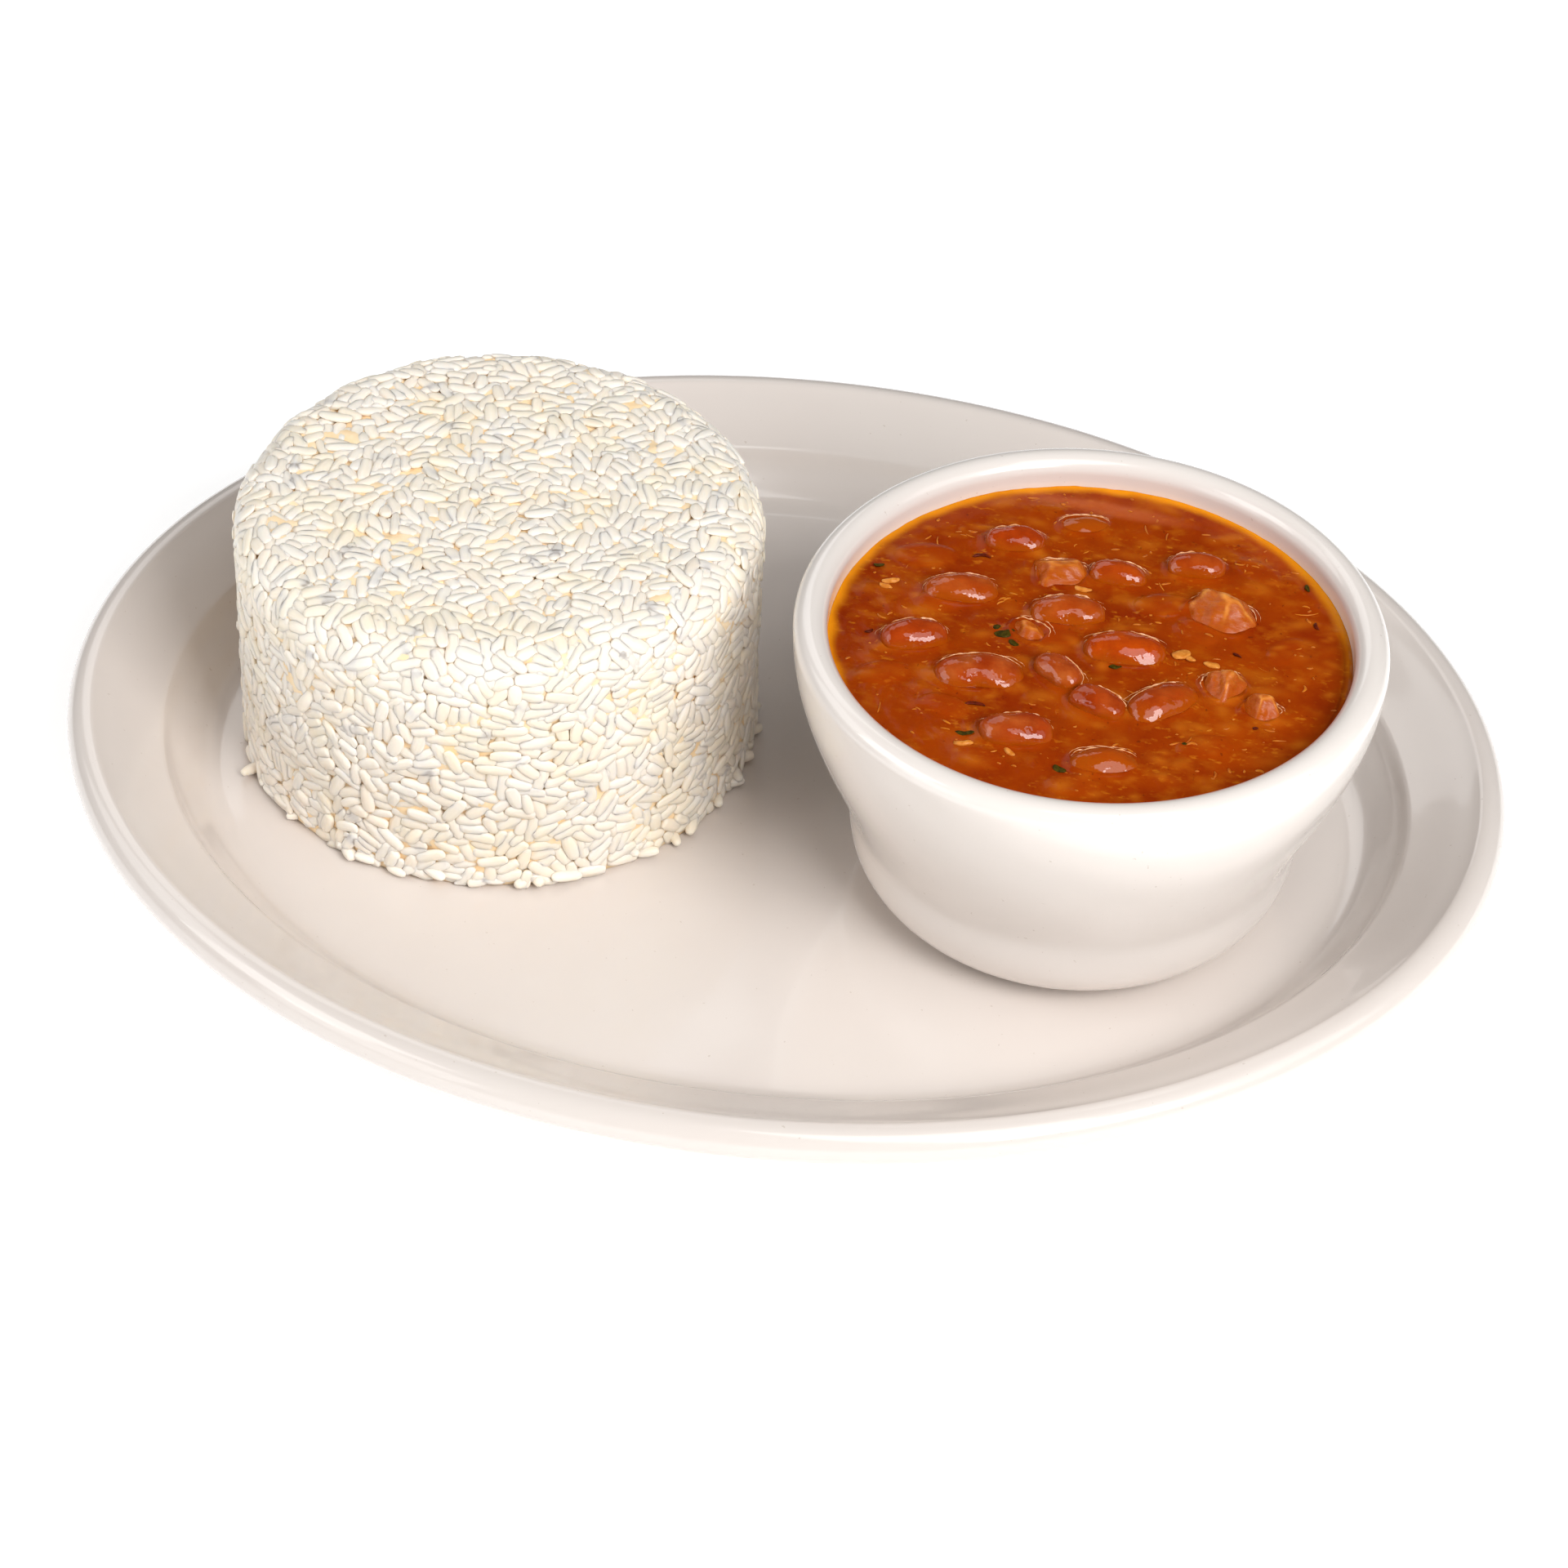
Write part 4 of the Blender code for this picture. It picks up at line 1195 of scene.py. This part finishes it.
class PLATE_OT_bowl(bpy.types.Operator):
    """Make the bouillon bowl"""
    bl_idname = "plate.bowl"
    bl_label = "Bowl"

    def execute(self, context):
        settings = context.scene.plate_crockery
        finish = glaze_finish("bowl_glaze", settings.bowl_colour, BOWL_SHADE)
        add_piece(bowl_mesh(settings), finish, "bowl_glaze", "bowl")
        return {"FINISHED"}


class PLATE_OT_rice(bpy.types.Operator):
    """Make the drum of rice: its core, and the grains over it"""
    bl_idname = "plate.rice"
    bl_label = "Rice"

    def execute(self, context):
        settings = context.scene.plate_rice
        core = rice_finish("rice_core", settings, core=True)
        grain = rice_finish("rice_grain", settings)
        add_piece(rice_core_mesh(settings), core, "rice", "rice")
        spots = spread_on_drum(settings.outer_grains, 0.0, OUTER_REACH, np.random.default_rng(91))
        outer = lay_grains(spots, OUTER_DEPTH, settings, 41, rounds=settings.rounds)
        on_top = outer["centres"][:, 2] > RICE_HEIGHT - RICE_EDGE
        spots = spread_on_drum(settings.deep_grains, 0.0, DEEP_REACH, np.random.default_rng(93))
        deep = lay_grains(spots, DEEP_DEPTH, settings, 43, 0.2)
        for mesh in (
            grains_mesh("rice_top_grains", outer, on_top, *GRAIN_RINGS),
            grains_mesh("rice_side_grains", outer, ~on_top, *GRAIN_RINGS),
            grains_mesh("rice_deep_grains", deep, slice(None), *DEEP_RINGS),
            foot_grains_mesh("rice_foot_grains", settings),
        ):
            add_piece(mesh, grain, "rice", "rice")
        return {"FINISHED"}


class PLATE_OT_stew(bpy.types.Operator):
    """Make the stew's surface"""
    bl_idname = "plate.stew"
    bl_label = "Stew"

    def execute(self, context):
        settings = context.scene.plate_stew
        add_piece(stew_mesh(settings), stew_finish("stew", settings), "stew", "stew")
        return {"FINISHED"}


class PLATE_OT_beans(bpy.types.Operator):
    """Make the red beans that break the stew's surface"""
    bl_idname = "plate.beans"
    bl_label = "Beans"

    def execute(self, context):
        if not BEANS:
            raise RuntimeError("the frame holds no beans")
        finish = bean_finish("bean_skin", context.scene.plate_stew)
        for node in BEANS:
            add_piece(bean_mesh(node), finish, "bean", node)
        return {"FINISHED"}


class PLATE_OT_ham(bpy.types.Operator):
    """Make the torn chunks of ham"""
    bl_idname = "plate.ham"
    bl_label = "Ham"

    def execute(self, context):
        if not HAM:
            raise RuntimeError("the frame holds no ham")
        finish = ham_finish("ham_meat", context.scene.plate_stew)
        for node in HAM:
            add_piece(ham_mesh(node), finish, "ham", node)
        return {"FINISHED"}


class PLATE_OT_bits(bpy.types.Operator):
    """Make the herbs, skins, onion, flecks and threads on the stew"""
    bl_idname = "plate.bits"
    bl_label = "Herbs and flecks"

    def execute(self, context):
        settings = context.scene.plate_stew
        herb = bit_finish(
            "herb_leaf", (0.070, 0.048, 0.002), (0.024, 0.018, 0.001), 0.7 * MM, 0.5, 0.12)
        skin = bit_finish(
            "bean_skin_curl", (0.14, 0.012, 0.002), (0.06, 0.006, 0.001), 0.6 * MM, 0.4, 0.15)
        onion = bit_finish("onion_bit", (0.72, 0.29, 0.05), (0.54, 0.16, 0.015), 0.9 * MM)
        fleck = bit_finish("stew_fleck", (0.56, 0.17, 0.010), (0.42, 0.09, 0.005), 1.6 * MM)
        # Painted highlight: the lips' bright peach colour stands for light caught on the stew's
        # meniscus behind each piece.
        lip = bit_finish("film_lip_highlight", (0.92, 0.50, 0.27), (0.74, 0.32, 0.11), 1.3 * MM, 0.12, 0.8)
        add_piece(film_lips_mesh("film_lips", settings), lip, "stew")
        add_piece(scattered_bits("herb_flakes", HERBS, 0.45 * MM, 61), herb, "herb")
        add_piece(scattered_bits("skin_curls", SKIN_CURLS, 0.5 * MM, 62), skin, "bean")
        add_piece(scattered_bits("onion_bits", ONION_BITS, 0.8 * MM, 63), onion, "stew")
        for name, count, sizes, seed, height in (
            ("stew_flecks", settings.flecks, FLECK_SIZES, 64, 0.06 * MM),
            ("stew_threads", settings.threads, THREAD_SIZES, 66, 0.05 * MM),
        ):
            add_piece(strewn_flecks(name, settings, count, sizes, seed, height), fleck, "stew")
        return {"FINISHED"}


# The studio's lights, a metre from the plate: turn round it from the front and height above
# the table in degrees, width in metres, power in watts.
LIGHTS = (
    ("key", 45, 38, 0.45, 8.0), ("high", 35, 62, 0.5, 2.4), ("right_side", 80, 38, 0.5, 1.0),
    ("fill", -65, 38, 0.5, 2.4), ("low_fill", -45, 18, 0.5, 1.3),
    ("left_side", -100, 38, 0.5, 1.0), ("back", -150, 40, 0.5, 1.1),
)
LIGHTS_AIM = Vector((0, 0, 30 * MM))


def direction_to(turn, rise):
    """The direction at a turn round the plate from the front and a height above the table."""
    flat = math.cos(rise)
    return Vector((math.sin(turn) * flat, -math.cos(turn) * flat, math.sin(rise)))


def add_light(name, place_at, size, power):
    """A soft square light that faces its aim."""
    data = bpy.data.lights.new(name, "AREA")
    data.shape = "RECTANGLE"
    data.size, data.size_y = size, size
    data.energy = power
    light = bpy.data.objects.new(name, data)
    bpy.context.scene.collection.objects.link(light)
    light.location = place_at
    light.rotation_euler = (LIGHTS_AIM - place_at).to_track_quat("-Z", "Y").to_euler()
    light.visible_camera = False


# What the camera looks at: a point over the platter's middle, and how far the view's middle
# lies to its right and below it.
VIEW_CENTRE = Vector((0, 0, PLATTER_TOP - 3.7 * MM))
VIEW_RIGHT = 0.17 * MM
VIEW_DOWN = 9.61 * MM
SENSOR_WIDTH = 36
FLOOR_HALF, FLOOR_POINTS = 2.5, 9


class PLATE_OT_stage(bpy.types.Operator):
    """Make the floor, the lights and the camera"""
    bl_idname = "plate.stage"
    bl_label = "Stage"

    def execute(self, context):
        settings = context.scene.plate_stage
        scene = context.scene
        side = np.linspace(-FLOOR_HALF, FLOOR_HALF, FLOOR_POINTS)
        x, y = np.meshgrid(side, side, indexing="ij")
        quads = grid_faces(np.arange(FLOOR_POINTS**2).reshape(FLOOR_POINTS, FLOOR_POINTS))
        ground = mesh_from("floor", np.stack([x, y, 0 * x], -1), quads, np.zeros((0, 3), int))
        paint = Finish(
            "floor_paint", Roughness=0.9, Base_Color=(0.9, 0.9, 0.9, 1),
            Emission_Color=(1, 1, 1, 1), Emission_Strength=0.4)
        ground.materials.append(paint.material)
        floor = bpy.data.objects.new("floor", ground)
        scene.collection.objects.link(floor)

        world = bpy.data.worlds.new("room")
        world.use_nodes = True
        back = world.node_tree.nodes["Background"]
        back.inputs["Color"].default_value = (1.0, 0.985, 0.965, 1)
        back.inputs["Strength"].default_value = settings.room
        scene.world = world

        for name, azimuth, height, size, power in LIGHTS:
            way = direction_to(math.radians(azimuth), math.radians(height))
            add_light(name, LIGHTS_AIM + way, size, power * settings.power)

        turn, rise, roll = settings.azimuth, settings.elevation, settings.roll
        back_way = direction_to(turn, rise)
        right = Vector((math.cos(turn), math.sin(turn), 0))
        up = back_way.cross(right)
        cos, sin = math.cos(roll), math.sin(roll)
        right, up = right * cos + up * sin, up * cos - right * sin
        centre = VIEW_CENTRE + right * VIEW_RIGHT - up * VIEW_DOWN
        data = bpy.data.cameras.new("camera")
        data.lens, data.sensor_width = settings.lens, SENSOR_WIDTH
        camera = bpy.data.objects.new("camera", data)
        axes = Matrix((right, up, back_way)).transposed().to_4x4()
        camera.matrix_world = Matrix.Translation(centre + back_way * settings.distance) @ axes
        scene.collection.objects.link(camera)
        scene.camera = camera
        scene.view_settings.view_transform = "Standard"
        return {"FINISHED"}


OPERATORS = (
    PLATE_OT_platter, PLATE_OT_bowl, PLATE_OT_rice, PLATE_OT_stew, PLATE_OT_beans,
    PLATE_OT_ham, PLATE_OT_bits, PLATE_OT_stage,
)
GROUPS = {
    "plate_crockery": PlateCrockery, "plate_rice": PlateRice,
    "plate_stew": PlateStew, "plate_stage": PlateStage,
}


class PLATE_PT_panel(bpy.types.Panel):
    """Lists the pieces of the plate and their settings"""
    bl_idname = "PLATE_PT_panel"
    bl_label = "Red beans and rice"
    bl_space_type = "VIEW_3D"
    bl_region_type = "UI"
    bl_category = "Plate"

    def draw(self, context):
        for key, group in GROUPS.items():
            box = self.layout.box()
            box.label(text=group.__doc__)
            for name in group.__annotations__:
                box.prop(getattr(context.scene, key), name)
        for operator in OPERATORS:
            self.layout.operator(operator.bl_idname)


def register():
    for group in GROUPS.values():
        bpy.utils.register_class(group)
    for key, group in GROUPS.items():
        setattr(bpy.types.Scene, key, bpy.props.PointerProperty(type=group))
    for item in OPERATORS + (PLATE_PT_panel,):
        bpy.utils.register_class(item)


def unregister():
    for item in reversed(OPERATORS + (PLATE_PT_panel,)):
        bpy.utils.unregister_class(item)
    for key, group in GROUPS.items():
        delattr(bpy.types.Scene, key)
        bpy.utils.unregister_class(group)


def write_sizes():
    """Updates the view layer."""
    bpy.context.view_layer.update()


def main():
    register()
    for operator in OPERATORS:
        group, action = operator.bl_idname.split(".")
        getattr(getattr(bpy.ops, group), action)()
    write_sizes()


if __name__ == "__main__":
    main()
